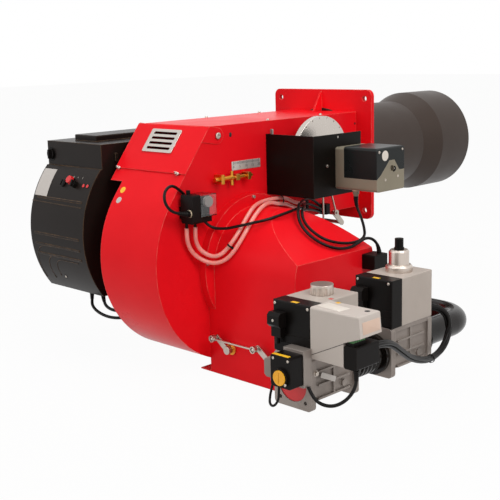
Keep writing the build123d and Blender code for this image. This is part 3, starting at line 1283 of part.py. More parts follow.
def build():
    pieces = {
        "boiler_flange": boiler_flange(),
        "blast_tube": blast_tube(),
        "casing": casing(),
        "air_box": air_box(),
        "fan_inlet_cone": fan_inlet_cone(),
        "fan_wheel": fan_wheel(),
        "motor_shaft": motor_shaft(),
        "motor_body": motor_body(),
        "control_hood": control_hood(),
        "main_switch": main_switch(),
        "selector_knob": selector_knob(),
        "red_button": red_button(),
        "damper_1": damper_1(),
        "damper_2": damper(DAMPER_X[1]),
        "damper_link": damper_link(),
        "brass_bushings": brass_bushings(),
        "cam_box": cam_box(),
        "servo_base": servo_base(),
        "servo_cover": servo_cover(),
        "servo_shaft": servo_shaft(),
        "cam_disc": cam_disc(),
        "air_rod": air_rod(),
        "gas_rod": gas_rod(),
        "gas_throttle_housing": gas_throttle_housing(),
        "gas_butterfly": gas_butterfly(),
        "gas_manifold": gas_manifold(),
        "firing_head": firing_head(),
        "head_rod": head_rod(),
        "inspection_cover": inspection_cover(),
        "vent_grille": vent_grille(),
        "valve_body_1": valve_body_1(),
        "valve_body_2": valve_body(VALVE_2_Y),
        "valve_coil_1": valve_coil(VALVE_1_Y),
        "valve_coil_2": valve_coil(VALVE_2_Y),
        "coil_cover_1": coil_cover(VALVE_1_Y),
        "coil_cover_2": coil_cover(VALVE_2_Y),
        "connector_plugs": connector_plugs(),
        "gas_pipework": gas_pipework(),
        "inlet_cap": inlet_cap(),
        "valve_1_knob": valve_1_knob(),
        "valve_2_knob": valve_2_knob(),
        "hydraulic_brake": hydraulic_brake(),
        "leak_tester": leak_tester(),
        "terminal_box": terminal_box(),
        "gas_switch_body": gas_switch_body(),
        "gas_dial": gas_dial(),
        "air_switch_base": air_switch_base() + air_works(),
        "air_switch_cover": air_switch_cover(),
        "air_dial": air_dial(),
        "fasteners": fasteners(),
    }
    for name in CORDS:
        pieces[name] = cord(name)
    return pieces


def main():
    os.makedirs("parts", exist_ok=True)
    for name, shape in build().items():
        export_step(shape, f"parts/{name}.step")
        print(name, round(shape.volume / 1000, 1), len(shape.solids()))


main()
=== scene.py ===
# %% [markdown]
# # An industrial gas burner, dressed in Blender
#
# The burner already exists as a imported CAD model: every solid is a node that sits where it belongs, in metres, with
# +Z up and the firing axis along +Y. This lesson loads that frame, adds the cords and the small trim that the solids
# leave out, and gives every surface a finish that comes from nodes alone.

# %% Load the frame
from math import cos, radians, sin

import bmesh
import bpy
from mathutils import Matrix, Vector


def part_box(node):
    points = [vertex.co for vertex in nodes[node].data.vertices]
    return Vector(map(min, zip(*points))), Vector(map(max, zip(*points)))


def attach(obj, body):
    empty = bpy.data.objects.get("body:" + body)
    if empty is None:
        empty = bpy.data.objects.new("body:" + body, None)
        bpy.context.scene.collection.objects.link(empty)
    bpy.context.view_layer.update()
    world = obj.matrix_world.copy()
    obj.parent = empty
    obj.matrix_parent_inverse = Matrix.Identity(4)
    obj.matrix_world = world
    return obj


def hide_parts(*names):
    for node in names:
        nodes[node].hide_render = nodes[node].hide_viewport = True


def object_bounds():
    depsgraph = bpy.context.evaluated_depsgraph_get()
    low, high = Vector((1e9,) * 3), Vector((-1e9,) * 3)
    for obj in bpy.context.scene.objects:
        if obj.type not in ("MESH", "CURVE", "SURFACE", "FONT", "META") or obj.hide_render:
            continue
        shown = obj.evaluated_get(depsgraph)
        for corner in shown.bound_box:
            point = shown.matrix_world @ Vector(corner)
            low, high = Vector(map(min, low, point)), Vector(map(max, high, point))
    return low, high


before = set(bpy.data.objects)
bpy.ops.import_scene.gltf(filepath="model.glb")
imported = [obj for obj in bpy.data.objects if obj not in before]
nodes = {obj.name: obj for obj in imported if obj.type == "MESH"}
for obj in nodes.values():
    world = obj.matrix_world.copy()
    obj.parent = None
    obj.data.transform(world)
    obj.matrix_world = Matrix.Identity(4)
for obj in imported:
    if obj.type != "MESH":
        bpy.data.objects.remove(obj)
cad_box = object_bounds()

MM = 0.001
print("CAD box:", [[round(v, 3) for v in corner] for corner in cad_box])

# %% [markdown]
# ## The camera
#
# The photograph was taken with a moderately long lens from the rear right corner, a little above the burner. The
# camera's place was found from the vanishing points of the casing's edges, so that the solids fall on the photograph.
# A camera looks along its own -Z, so its turn is written as three plain rotations.

# %% Camera
LENS, SENSOR = 69.84, 36.0
CAMERA_PLACE = (1.8201, -2.142, 0.2961)
CAMERA_TURNS = ((44.9, "Z"), (78.3, "X"), (-1.52, "Z"))
camera_data = bpy.data.cameras.new("photo_camera")
camera_data.lens = LENS
camera_data.sensor_width = SENSOR
camera = bpy.data.objects.new("photo_camera", camera_data)
bpy.context.scene.collection.objects.link(camera)
first, second, third = [Matrix.Rotation(radians(angle), 4, axis) for angle, axis in CAMERA_TURNS]
turn = first @ second @ third
camera.matrix_world = Matrix.Translation(CAMERA_PLACE) @ turn
bpy.context.scene.camera = camera
print("camera looks along", [round(v, 3) for v in -turn.col[2].xyz])

# %% [markdown]
# ## The studio
#
# The burner stands on a pale floor in a white room. Large soft lamps stand for the softboxes: a key on the gas
# train's side, a fill on the motor's side and one above. What the camera, the gloss and the clear plastic see of the
# world is plain white, while the light that the world sends is weaker, so that the shapes keep their shading.

# %% Lamps, world and floor
bpy.context.scene.view_settings.view_transform = "Standard"


def soft_lamp(name, place, aim, size, power):
    """A square area lamp at a place, turned to what it lights."""
    data = bpy.data.lights.new(name, "AREA")
    data.shape = "SQUARE"
    data.size = size
    data.energy = power
    lamp = bpy.data.objects.new(name, data)
    bpy.context.scene.collection.objects.link(lamp)
    lamp.location = place
    lamp.rotation_euler = (Vector(aim) - Vector(place)).to_track_quat("-Z", "Y").to_euler()
    return lamp


AIM = (0.15, -0.35, -0.1)
FLOOR_GAP = 0.0005
FLOOR_SEEN = 0.96
ROOM_LIGHT = 0.4
PURE_WHITE = (1, 1, 1, 1)
soft_lamp("key_lamp", (3.0, -0.9, 2.1), AIM, 1.8, 66)
soft_lamp("fill_lamp", (-0.9, -3.4, 1.3), AIM, 2.2, 34)
soft_lamp("top_lamp", (0.2, -0.3, 3.0), AIM, 2.6, 42)

world = bpy.data.worlds.new("white_room")
bpy.context.scene.world = world
world.use_nodes = True
tree = world.node_tree
tree.nodes.clear()


def seen_directly(tree):
    """1 for rays of the camera, of gloss and of clear plastic, else 0."""
    path = tree.nodes.new("ShaderNodeLightPath")
    total = path.outputs["Is Camera Ray"]
    for name in ("Is Glossy Ray", "Is Transmission Ray"):
        add = tree.nodes.new("ShaderNodeMath")
        add.operation = "MAXIMUM"
        tree.links.new(total, add.inputs[0])
        tree.links.new(path.outputs[name], add.inputs[1])
        total = add.outputs[0]
    return total


def glowing(tree, kind, colour, strength):
    """A node that sends light of one colour."""
    node = tree.nodes.new(kind)
    node.inputs["Color"].default_value = colour
    node.inputs["Strength"].default_value = strength
    return node


def choose(tree, mask, unseen, seen, kind):
    """Ends a tree with one shader, or with the other where the mask is 1."""
    either = tree.nodes.new("ShaderNodeMixShader")
    out = tree.nodes.new(kind)
    for source, socket in zip((mask, unseen.outputs[0], seen.outputs[0]), either.inputs):
        tree.links.new(source, socket)
    tree.links.new(either.outputs[0], out.inputs[0])


room_light = glowing(tree, "ShaderNodeBackground", (1, 0.985, 0.97, 1), ROOM_LIGHT)
room_white = glowing(tree, "ShaderNodeBackground", PURE_WHITE, 1.0)
choose(tree, seen_directly(tree), room_light, room_white, "ShaderNodeOutputWorld")

FLOOR_Z = cad_box[0][2] - FLOOR_GAP
bpy.ops.object.select_all(action="DESELECT")
bpy.ops.mesh.primitive_plane_add(size=40, location=(0, 0, FLOOR_Z))
floor = bpy.context.object
floor.name = "studio_floor"
floor_paint = bpy.data.materials.new("studio_floor_paint")
floor_paint.use_nodes = True
tree = floor_paint.node_tree
tree.nodes.clear()
pale = tree.nodes.new("ShaderNodeBsdfDiffuse")
pale.inputs["Color"].default_value = (0.62, 0.61, 0.6, 1)
glow = glowing(tree, "ShaderNodeEmission", PURE_WHITE, 1.0)
share = tree.nodes.new("ShaderNodeMath")
share.operation = "MULTIPLY"
share.inputs[1].default_value = FLOOR_SEEN
tree.links.new(seen_directly(tree), share.inputs[0])
choose(tree, share.outputs[0], pale, glow, "ShaderNodeOutputMaterial")
floor.data.materials.append(floor_paint)
print("floor at z", round(FLOOR_Z, 4))

# %% [markdown]
# ## Shared effects as node groups
#
# Paint, castings and moulded plastic all share a few effects: a fine grain in the surface, patches where hands and
# dust have changed the gloss, and rounded edges where the colour has rubbed thin and carries a painted highlight. Each
# effect is a node group that is built once. A group only puts out masks and normals; the shader itself stays in each
# material.

# %% A helper for groups


def new_group(name, inputs, outputs):
    """An empty shader group with float inputs, and outputs given as (name, kind)."""
    group = bpy.data.node_groups.new(name, "ShaderNodeTree")
    for label, value in inputs:
        socket = group.interface.new_socket(label, in_out="INPUT", socket_type="NodeSocketFloat")
        socket.default_value = value
    for label, kind in outputs:
        group.interface.new_socket(label, in_out="OUTPUT", socket_type=kind)
    return group, group.nodes.new("NodeGroupInput"), group.nodes.new("NodeGroupOutput")


def noise(tree, place, scale, detail=3.0, roughness=0.55):
    """A noise texture on the given coordinates."""
    node = tree.nodes.new("ShaderNodeTexNoise")
    node.inputs["Detail"].default_value = detail
    node.inputs["Roughness"].default_value = roughness
    if isinstance(scale, (int, float)):
        node.inputs["Scale"].default_value = scale
    else:
        tree.links.new(scale, node.inputs["Scale"])
    tree.links.new(place, node.inputs["Vector"])
    return node.outputs["Fac"]


def spread(tree, value, low, high, new_low=0.0, new_high=1.0):
    """Stretches a value's range low..high to new_low..new_high, clamped."""
    node = tree.nodes.new("ShaderNodeMapRange")
    tree.links.new(value, node.inputs["Value"])
    node.inputs["From Min"].default_value = low
    node.inputs["From Max"].default_value = high
    node.inputs["To Min"].default_value = new_low
    node.inputs["To Max"].default_value = new_high
    return node.outputs["Result"]


def maths(tree, kind, a, b):
    """One math node; a and b are sockets or numbers."""
    node = tree.nodes.new("ShaderNodeMath")
    node.operation = kind
    for slot, value in enumerate((a, b)):
        if isinstance(value, (int, float)):
            node.inputs[slot].default_value = value
        else:
            tree.links.new(value, node.inputs[slot])
    return node.outputs[0]


# %% Edge wear and painted edge highlight: where the rounded normal leaves the flat one, there is an edge
edge_wear_and_glint, give, take = new_group(
    "edge_wear_and_glint", [("Radius", 0.002), ("Patchiness", 0.5)],
    [("Mask", "NodeSocketFloat"), ("Normal", "NodeSocketVector")])
place = edge_wear_and_glint.nodes.new("ShaderNodeTexCoord").outputs["Object"]
rounded = edge_wear_and_glint.nodes.new("ShaderNodeBevel")
rounded.samples = 4
edge_wear_and_glint.links.new(give.outputs["Radius"], rounded.inputs["Radius"])
flat = edge_wear_and_glint.nodes.new("ShaderNodeNewGeometry")
dot = edge_wear_and_glint.nodes.new("ShaderNodeVectorMath")
dot.operation = "DOT_PRODUCT"
edge_wear_and_glint.links.new(rounded.outputs["Normal"], dot.inputs[0])
edge_wear_and_glint.links.new(flat.outputs["Normal"], dot.inputs[1])
edge = spread(edge_wear_and_glint, dot.outputs["Value"], 0.995, 0.85)
patch = spread(edge_wear_and_glint, noise(edge_wear_and_glint, place, 45.0, 4.0), 0.38, 0.62)
keep = maths(edge_wear_and_glint, "SUBTRACT", 1.0, give.outputs["Patchiness"])
patch = maths(edge_wear_and_glint, "ADD", maths(edge_wear_and_glint, "MULTIPLY", patch, give.outputs["Patchiness"]), keep)
edge_wear_and_glint.links.new(maths(edge_wear_and_glint, "MULTIPLY", edge, patch), take.inputs["Mask"])
edge_wear_and_glint.links.new(rounded.outputs["Normal"], take.inputs["Normal"])
print("group:", edge_wear_and_glint.name)

# %% Fine grain: the height of orange peel, cast skin or moulded texture
fine_grain, give, take = new_group(
    "fine_grain", [("Scale", 400.0), ("Coarse", 0.3)], [("Height", "NodeSocketFloat")])
place = fine_grain.nodes.new("ShaderNodeTexCoord").outputs["Object"]
small = noise(fine_grain, place, give.outputs["Scale"], 2.0)
large = noise(fine_grain, place, maths(fine_grain, "MULTIPLY", give.outputs["Scale"], 0.22), 3.0)
rest = maths(fine_grain, "SUBTRACT", 1.0, give.outputs["Coarse"])
both = maths(fine_grain, "ADD", maths(fine_grain, "MULTIPLY", small, rest),
             maths(fine_grain, "MULTIPLY", large, give.outputs["Coarse"]))
fine_grain.links.new(both, take.inputs["Height"])
print("group:", fine_grain.name)

# %% Handling: soft patches of dust and fingers
handling, give, take = new_group(
    "handling", [("Scale", 7.0)], [("Patches", "NodeSocketFloat"), ("Specks", "NodeSocketFloat")])
place = handling.nodes.new("ShaderNodeTexCoord").outputs["Object"]
handling.links.new(spread(handling, noise(handling, place, give.outputs["Scale"], 5.0, 0.6), 0.3, 0.7),
                   take.inputs["Patches"])
handling.links.new(spread(handling, noise(handling, place, 260.0, 1.0), 0.68, 0.74), take.inputs["Specks"])
print("group:", handling.name)

# %% [markdown]
# ## One recipe for the hard finishes
#
# Painted sheet, cast aluminium, moulded plastic and bare steel differ in colour, gloss, metal and grain, but they
# wear in the same way. A single function therefore lays out the same nodes each time: the colour drifts a little over
# the handling patches, wears and takes a painted highlight on the edges, and the grain feeds a bump on top of the
# rounded edge.
# Colours are written as sRGB numbers, as a colour picker shows them, and turned into the linear values that the
# renderer works with.

# %% The recipe


def linear(rgb):
    """An sRGB colour of 0..255 as linear RGBA."""
    parts = [v / 255 for v in rgb]
    return [v / 12.92 if v <= 0.04045 else ((v + 0.055) / 1.055) ** 2.4 for v in parts] + [1.0]


def blend_colours(tree, mask, a, b):
    """A colour mix; a and b are sockets or RGBA values."""
    node = tree.nodes.new("ShaderNodeMix")
    node.data_type = "RGBA"
    tree.links.new(mask, node.inputs[0])
    for slot, value in ((6, a), (7, b)):
        if isinstance(value, (list, tuple)):
            node.inputs[slot].default_value = value
        else:
            tree.links.new(value, node.inputs[slot])
    return node.outputs[2]


def use_group(tree, group, **values):
    """Places a group in a material, with its own values."""
    node = tree.nodes.new("ShaderNodeGroup")
    node.node_tree = group
    for name, value in values.items():
        node.inputs[name.capitalize()].default_value = value
    return node


def blank(name):
    """A material with only its shader and its output."""
    material = bpy.data.materials.new(name)
    material.use_nodes = True
    tree = material.node_tree
    tree.nodes.clear()
    shader = tree.nodes.new("ShaderNodeBsdfPrincipled")
    out = tree.nodes.new("ShaderNodeOutputMaterial")
    tree.links.new(shader.outputs[0], out.inputs[0])
    return material, tree, shader


def grain_bump(tree, shader, skin, strength, depth):
    """Lets the grain's height raise the surface."""
    raised = tree.nodes.new("ShaderNodeBump")
    raised.inputs["Strength"].default_value = strength
    raised.inputs["Distance"].default_value = depth
    tree.links.new(skin.outputs["Height"], raised.inputs["Height"])
    tree.links.new(raised.outputs["Normal"], shader.inputs["Normal"])
    return raised


def hard_finish(name, colour, drift=None, edge=None, gloss=(0.3, 0.42), metal=0.0, grain=400.0,
                coarse=0.3, bump=0.15, depth=0.0002, radius=0.0015, wear_and_glint=0.5, coat=0.0, patches=7.0, specular=0.5):
    """Paint, casting, moulding or metal: colour, gloss, grain, and worn edges that carry a painted highlight, from
    nodes.
    """
    material, tree, shader = blank(name)
    hands = use_group(tree, handling, scale=patches)
    edges = use_group(tree, edge_wear_and_glint, radius=radius, patchiness=0.7)
    skin = use_group(tree, fine_grain, scale=grain, coarse=coarse)
    base = linear(colour)
    other = linear(drift) if drift else [v * 0.86 for v in base[:3]] + [1.0]
    paint = blend_colours(tree, maths(tree, "MULTIPLY", hands.outputs["Patches"], 0.6), base, other)
    # The edge colour is partly wear and partly a painted highlight; without a given one it is a lighter copy of the
    # base.
    worn_and_glint_colour = linear(edge) if edge else [min(1.0, v * 1.5 + 0.02) for v in base[:3]] + [1.0]
    rub_and_glint = maths(tree, "MULTIPLY", edges.outputs["Mask"], wear_and_glint)
    tree.links.new(blend_colours(tree, rub_and_glint, paint, worn_and_glint_colour), shader.inputs["Base Color"])
    low, high = gloss
    rough = spread(tree, hands.outputs["Patches"], 0.0, 1.0, low, high)
    rough = maths(tree, "ADD", rough, maths(tree, "MULTIPLY", hands.outputs["Specks"], 0.06))
    tree.links.new(rough, shader.inputs["Roughness"])
    shader.inputs["Metallic"].default_value = metal
    shader.inputs["Specular IOR Level"].default_value = specular
    if coat:
        shader.inputs["Coat Weight"].default_value = coat
        shader.inputs["Coat Roughness"].default_value = 0.08
    raised = grain_bump(tree, shader, skin, bump, depth)
    tree.links.new(edges.outputs["Normal"], raised.inputs["Normal"])
    return material


# %% Paints
# The red's pale pink edge colour (252, 150, 134) and its strong edge share are a painted highlight: they copy the thin
# glints along the casing's edges.
red_paint = hard_finish("red_paint", (234, 22, 32), drift=(220, 17, 27), edge=(252, 150, 134), gloss=(0.26, 0.36),
                        grain=260.0, coarse=0.5, bump=0.1, depth=0.0004, radius=0.0022, wear_and_glint=0.75,
                        specular=0.08)
dark_tube_paint = hard_finish("dark_tube_paint", (58, 46, 39), drift=(50, 39, 33), edge=(88, 74, 64),
                              gloss=(0.36, 0.48), grain=500.0, bump=0.2, patches=5.0, specular=0.25)
black_sheet = hard_finish("black_sheet", (12, 9, 7), drift=(20, 16, 13), edge=(84, 74, 66), grain=420.0,
                          specular=0.1)
motor_paint = hard_finish("motor_paint", (32, 31, 32), edge=(78, 76, 76), gloss=(0.4, 0.55), specular=0.3)
pipe_paint = hard_finish("pipe_paint", (20, 16, 14), drift=(28, 22, 19), edge=(76, 64, 56), gloss=(0.18, 0.3),
                         grain=220.0, coarse=0.6, bump=0.25, depth=0.0005, coat=0.1, specular=0.2)
grey_cover = hard_finish("grey_cover", (178, 167, 158), drift=(164, 153, 144), edge=(208, 198, 190),
                         gloss=(0.38, 0.5), grain=700.0, bump=0.25, specular=0.3)
servo_grey = hard_finish("servo_grey", (138, 130, 112), drift=(124, 115, 98), edge=(182, 174, 158),
                         gloss=(0.4, 0.52), grain=600.0, bump=0.3, specular=0.3)
print("paints done")

# %% Plastics
# The brown edge colour (150, 114, 80) is partly wear and partly a painted highlight: it copies the brownish highlight
# lines along the hood's edges and beads.
black_moulding = hard_finish("black_moulding", (29, 22, 19), drift=(22, 17, 14), edge=(150, 114, 80),
                             gloss=(0.28, 0.38), grain=900.0, bump=0.3, depth=0.00015, radius=0.003, wear_and_glint=0.55,
                             patches=4.0, specular=0.12)
black_plastic = hard_finish("black_plastic", (11, 8, 7), drift=(18, 14, 12), edge=(66, 58, 52),
                            gloss=(0.32, 0.44), grain=900.0, bump=0.2, radius=0.001, specular=0.1)
servo_petrol = hard_finish("servo_petrol", (20, 25, 25), drift=(27, 27, 26), edge=(70, 84, 84), gloss=(0.22, 0.34),
                           grain=700.0, bump=0.12, specular=0.18)
red_plastic = hard_finish("red_plastic", (214, 30, 34), gloss=(0.25, 0.35), grain=800.0)
yellow_plastic = hard_finish("yellow_plastic", (246, 176, 20), drift=(238, 162, 14), gloss=(0.35, 0.45))
grey_plastic = hard_finish("grey_plastic", (150, 144, 138), gloss=(0.35, 0.45))
tester_grey = hard_finish("tester_grey", (194, 184, 176), drift=(184, 174, 165), edge=(220, 211, 204),
                          gloss=(0.4, 0.5), grain=900.0, bump=0.25, radius=0.001, specular=0.3)
print("plastics done")

# %% Metals
cast_aluminium = hard_finish("cast_aluminium", (152, 142, 135), drift=(122, 112, 105), edge=(212, 204, 197),
                             gloss=(0.42, 0.56), metal=0.5, grain=520.0, coarse=0.4, bump=0.55, depth=0.0004)
bright_aluminium = hard_finish("bright_aluminium", (208, 196, 186), drift=(190, 178, 168), gloss=(0.28, 0.4),
                               metal=1.0, grain=1200.0, bump=0.1)
steel = hard_finish("steel", (188, 178, 168), drift=(168, 158, 148), gloss=(0.28, 0.4), metal=1.0, grain=900.0)
polished_steel = hard_finish("polished_steel", (210, 202, 194), drift=(192, 184, 176), gloss=(0.2, 0.3), metal=1.0,
                             grain=1200.0, bump=0.1)
brass = hard_finish("brass", (222, 158, 62), drift=(196, 126, 44), edge=(244, 206, 130), gloss=(0.24, 0.36),
                    metal=1.0, grain=900.0)
galvanised_sheet = hard_finish("galvanised_sheet", (186, 186, 184), drift=(160, 160, 158), gloss=(0.3, 0.5),
                               metal=0.9, grain=300.0, coarse=0.8, bump=0.2, patches=60.0)
print("metals done")

# %% Clear plastic, hose and cable
clear_plastic, tree, shader = blank("clear_plastic")
shader.inputs["Base Color"].default_value = (0.93, 0.94, 0.94, 1)
shader.inputs["Transmission Weight"].default_value = 1.0
shader.inputs["IOR"].default_value = 1.45
hands = use_group(tree, handling, scale=30.0)
tree.links.new(spread(tree, hands.outputs["Patches"], 0.0, 1.0, 0.03, 0.1), shader.inputs["Roughness"])

hose_pink, tree, shader = blank("hose_pink")
hands = use_group(tree, handling, scale=25.0)
milk = blend_colours(tree, hands.outputs["Patches"], linear((242, 160, 150)), linear((232, 138, 128)))
tree.links.new(milk, shader.inputs["Base Color"])
shader.inputs["Roughness"].default_value = 0.28
shader.inputs["Subsurface Weight"].default_value = 0.35
shader.inputs["Subsurface Scale"].default_value = 0.004
skin = use_group(tree, fine_grain, scale=500.0)
grain_bump(tree, shader, skin, 0.08, 0.0002)

cable_black = hard_finish("cable_black", (12, 9, 8), drift=(20, 16, 14), grain=900.0, radius=0.0005, wear_and_glint=0.0,
                          specular=0.15)
print("soft finishes done")

# %% [markdown]
# ## Dressing the CAD nodes
#
# A CAD node keeps its mesh and its place, and only its material slots change. A table by finish says which nodes
# wear it, so that a missing name stops the script at once.

# %% Which node wears which finish
WEAR = {
    red_paint: ["boiler_flange", "casing", "air_box", "inspection_cover"],
    dark_tube_paint: ["blast_tube"],
    galvanised_sheet: ["fan_inlet_cone", "fan_wheel"],
    steel: ["motor_shaft", "damper_1", "damper_2", "damper_link", "servo_shaft", "air_rod", "gas_rod",
            "gas_butterfly", "gas_manifold", "firing_head", "fasteners"],
    motor_paint: ["motor_body"],
    black_moulding: ["control_hood"],
    black_plastic: ["main_switch", "selector_knob", "coil_cover_1", "coil_cover_2", "connector_plugs",
                    "valve_2_knob", "terminal_box", "gas_switch_body", "air_switch_base"],
    red_plastic: ["red_button", "inlet_cap"],
    brass: ["brass_bushings", "head_rod"],
    black_sheet: ["cam_box"],
    servo_grey: ["servo_base"],
    servo_petrol: ["servo_cover"],
    polished_steel: ["cam_disc", "vent_grille"],
    cast_aluminium: ["gas_throttle_housing", "valve_body_1", "valve_body_2"],
    grey_cover: ["valve_coil_1", "valve_coil_2"],
    pipe_paint: ["gas_pipework"],
    bright_aluminium: ["valve_1_knob", "hydraulic_brake"],
    tester_grey: ["leak_tester"],
    yellow_plastic: ["gas_dial"],
    clear_plastic: ["air_switch_cover"],
    grey_plastic: ["air_dial"],
}
dressed = set()
for material, names in WEAR.items():
    for name in names:
        mesh = nodes[name].data
        for index in range(len(mesh.materials)):
            mesh.materials[index] = material
        if not mesh.materials:
            mesh.materials.append(material)
        dressed.add(name)
print("dressed:", len(dressed), "left:", sorted(set(nodes) - dressed))

# %% [markdown]
# ## The cords
#
# The burner's leads, hoses and hood cables run free between two fixed ends. Each one is a smooth spline whose control
# points are the same as the points of its CAD solid, in millimetres here and multiplied down to metres. The order of
# the spline is set after its points are there, because before that it stays at straight runs.

# %% Selecting, curves and the cord maker


def only(*objs):
    """Selects just these objects; the last one is active."""
    bpy.ops.object.select_all(action="DESELECT")
    for obj in objs:
        obj.select_set(True)
    bpy.context.view_layer.objects.active = objs[-1]


def as_mesh(obj):
    """Turns a curve or a text into a mesh."""
    only(obj)
    bpy.ops.object.convert(target="MESH")
    return bpy.context.object


def thick_line(name, kind, points, radius, rings, steps=10):
    """A curve of points in metres, with a round section."""
    data = bpy.data.curves.new(name, "CURVE")
    data.dimensions = "3D"
    line = data.splines.new(kind)
    line.points.add(len(points) - 1)
    for spot, point in zip(line.points, points):
        spot.co = (*point, 1)
    if kind == "NURBS":
        line.order_u = 3
        line.use_endpoint_u = True
        line.resolution_u = steps
    data.bevel_depth = radius
    data.bevel_resolution = rings
    data.use_fill_caps = True
    obj = bpy.data.objects.new(name, data)
    bpy.context.scene.collection.objects.link(obj)
    return obj


def route(name, points, radius):
    """A smooth spline with a cord's points, in millimetres, as control points."""
    return thick_line(name, "NURBS", [(x * MM, y * MM, z * MM) for x, y, z in points], radius * MM, 5)


def lead(name, points, thick, length, material=cable_black):
    """A declared cord that goes from one fixed end to the other."""
    obj = route(name + "_line", points, thick / 2)
    obj.data.materials.append(material)
    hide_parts(name)
    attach(obj, "burner")
    print(name, "points", len(points), "length", length)
    return obj


# %% Control leads on the casing's wall
lead("air_switch_lead", [
    (166, -684, -72), (163, -704, -69), (158, -728, -59), (153, -740, -36), (147, -732, -13), (139, -703, -3),
    (133, -669, -24), (130.5, -648, -43), (131, -626, -72), (132, -605, -100), (146, -588, -121),
    (172, -571, -122), (198, -564, -116), (238, -551, -105), (267, -524, -97), (274, -474, -89),
    (265, -411, -85), (243, -376, -90), (212, -335, -106), (176, -292, -114), (150, -256, -119),
    (148, -230, -124), (138, -202, -131), (134, -172, -139)], 7, 832)
lead("servo_lead", [
    (337, -279, -66), (338, -281, -86), (349, -278, -110), (372, -291, -137), (397, -320, -157),
    (402, -372, -161), (388, -413, -156), (368, -444, -143), (334, -450, -123), (304, -438, -107),
    (282, -419, -89), (258, -380, -83), (216, -339, -90), (181, -300, -98), (155, -262, -102),
    (144, -231, -109), (143, -201, -122), (143, -172, -134)], 7, 667)
lead("wall_plug_lead", [
    (436, -315, -190), (436, -318, -172), (428, -327, -155), (417, -343, -150), (410, -366, -162),
    (409, -398, -168), (398, -432, -165), (375, -463, -149), (341, -468, -129), (312, -461, -108),
    (288, -440, -86), (260, -403, -75), (221, -358, -86), (184, -319, -97), (153, -267, -92),
    (146, -234, -92), (137, -202, -106), (134, -172, -125)], 7, 631)

# %% Air hoses of the pressure switch
lead("hose_a", [
    (146, -669, -109), (144, -668, -127), (138, -660, -150), (137, -645, -174), (147, -627, -192),
    (167, -606, -202), (193, -593, -193), (215, -585, -170), (227, -567, -138), (226, -541, -110),
    (215, -504, -87), (200, -464, -76), (181, -421, -77), (166, -380, -87), (160, -342, -92),
    (139, -303, -105), (133, -270, -117), (133, -240, -120)], 10, 595, hose_pink)
lead("hose_b", [
    (150, -646, -109), (148, -645, -126), (142, -638, -148), (144, -627, -169), (160, -611, -184),
    (178, -600, -183), (194, -591, -169), (204, -575, -146), (206, -554, -124), (201, -527, -99),
    (190, -491, -78), (173, -454, -75), (165, -418, -73), (159, -374, -74), (153, -334, -80),
    (138, -298, -93), (133, -266, -104), (133, -240, -106)], 10, 536, hose_pink)

# %% Leads of the gas train and cables of the hood
lead("gas_switch_lead", [
    (575, -838, -338), (574, -841, -352), (576, -849, -366), (582, -857, -380), (596, -860, -381),
    (604, -855, -368), (601, -850, -353), (600, -848, -339)], 5, 105)
lead("terminal_lead", [
    (745, -793, -292), (743, -788, -314), (731, -783, -340), (714, -787, -362), (694, -797, -375),
    (672, -807, -374), (654, -812, -362), (643, -812, -343)], 7, 172)
lead("hood_cable_1", [
    (-225, -682, -318), (-221, -686, -335), (-206, -698, -350), (-172, -702, -362), (-136, -694, -370),
    (-106, -674, -370), (-86, -650, -364)], 8, 182)
lead("hood_cable_2", [
    (-180, -680, -318), (-176, -682, -333), (-158, -688, -346), (-132, -682, -354), (-106, -664, -352),
    (-86, -642, -344)], 8, 127)

# %% [markdown]
# The valve leads leave the tester's terminal box side by side and stay together up to the second valve's plug. Their
# solid is one thick bundle, so here four thin strands follow the bundle's spline, each at its own side of it.

# %% The bundle of valve leads
BUNDLE = [
    (737, -732, -262), (736, -704, -263), (729, -662, -275), (714, -610, -306), (690, -538, -346),
    (670, -446, -377), (656, -373, -374), (649, -338, -342), (646, -340, -300), (630, -364, -278),
    (616, -393, -275)]
STRAND = 7.0
ASIDE = Vector((0.25, 0.1, 1.0))
guide = route("valve_leads_guide", BUNDLE, 0)
guide.data.bevel_depth = 0
line_mesh = bpy.data.meshes.new_from_object(guide)
line_points = [v.co.copy() for v in line_mesh.vertices]
bpy.data.objects.remove(guide)


def strand_points(line, side, rise):
    """The line shifted sideways and up in the frame that turns with it."""
    moved = []
    for index, point in enumerate(line):
        ahead = line[min(index + 1, len(line) - 1)] - line[max(index - 1, 0)]
        ahead.normalize()
        across = ahead.cross(ASIDE).normalized()
        over = across.cross(ahead).normalized()
        moved.append(point + across * side + over * rise)
    return moved


OFFSETS = [(-4.2, 2.4), (0.4, -4.2), (4.0, 2.6), (-1.0, 4.4)]
strands = []
for index, (side, rise) in enumerate(OFFSETS):
    shifted = strand_points(line_points, side * MM, rise * MM)
    strands.append(as_mesh(thick_line(f"strand_{index}", "POLY", shifted, STRAND / 2 * MM, 4)))
only(*strands[1:], strands[0])
bpy.ops.object.join()
valve_leads = bpy.context.object
valve_leads.name = "valve_leads_strands"
valve_leads.data.materials.clear()
valve_leads.data.materials.append(cable_black)
bpy.ops.object.shade_smooth()
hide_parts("valve_leads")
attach(valve_leads, "burner")
print("strands:", len(OFFSETS), "path points:", len(line_points))

# %% [markdown]
# ## Modelling the trim with operators
#
# Screws, labels, lenses and beads are made as they would be by hand: a primitive is added, some of its faces or
# edges are picked in edit mode, and an operator insets, extrudes or bevels them. A small helper does the picking by
# place and direction. Each piece is built flat, facing +Z, and then turned onto its surface. A plate stands on it
# with its foot, while a disc, a screw or a bolt has its origin in its middle and so stands half in the surface. What
# repeats is built once and copied, each copy with its own mesh. A piece's place is applied to its mesh at the end, so
# that every finished object sits at the origin, as the CAD nodes do.

# %% Helpers for picking and placing


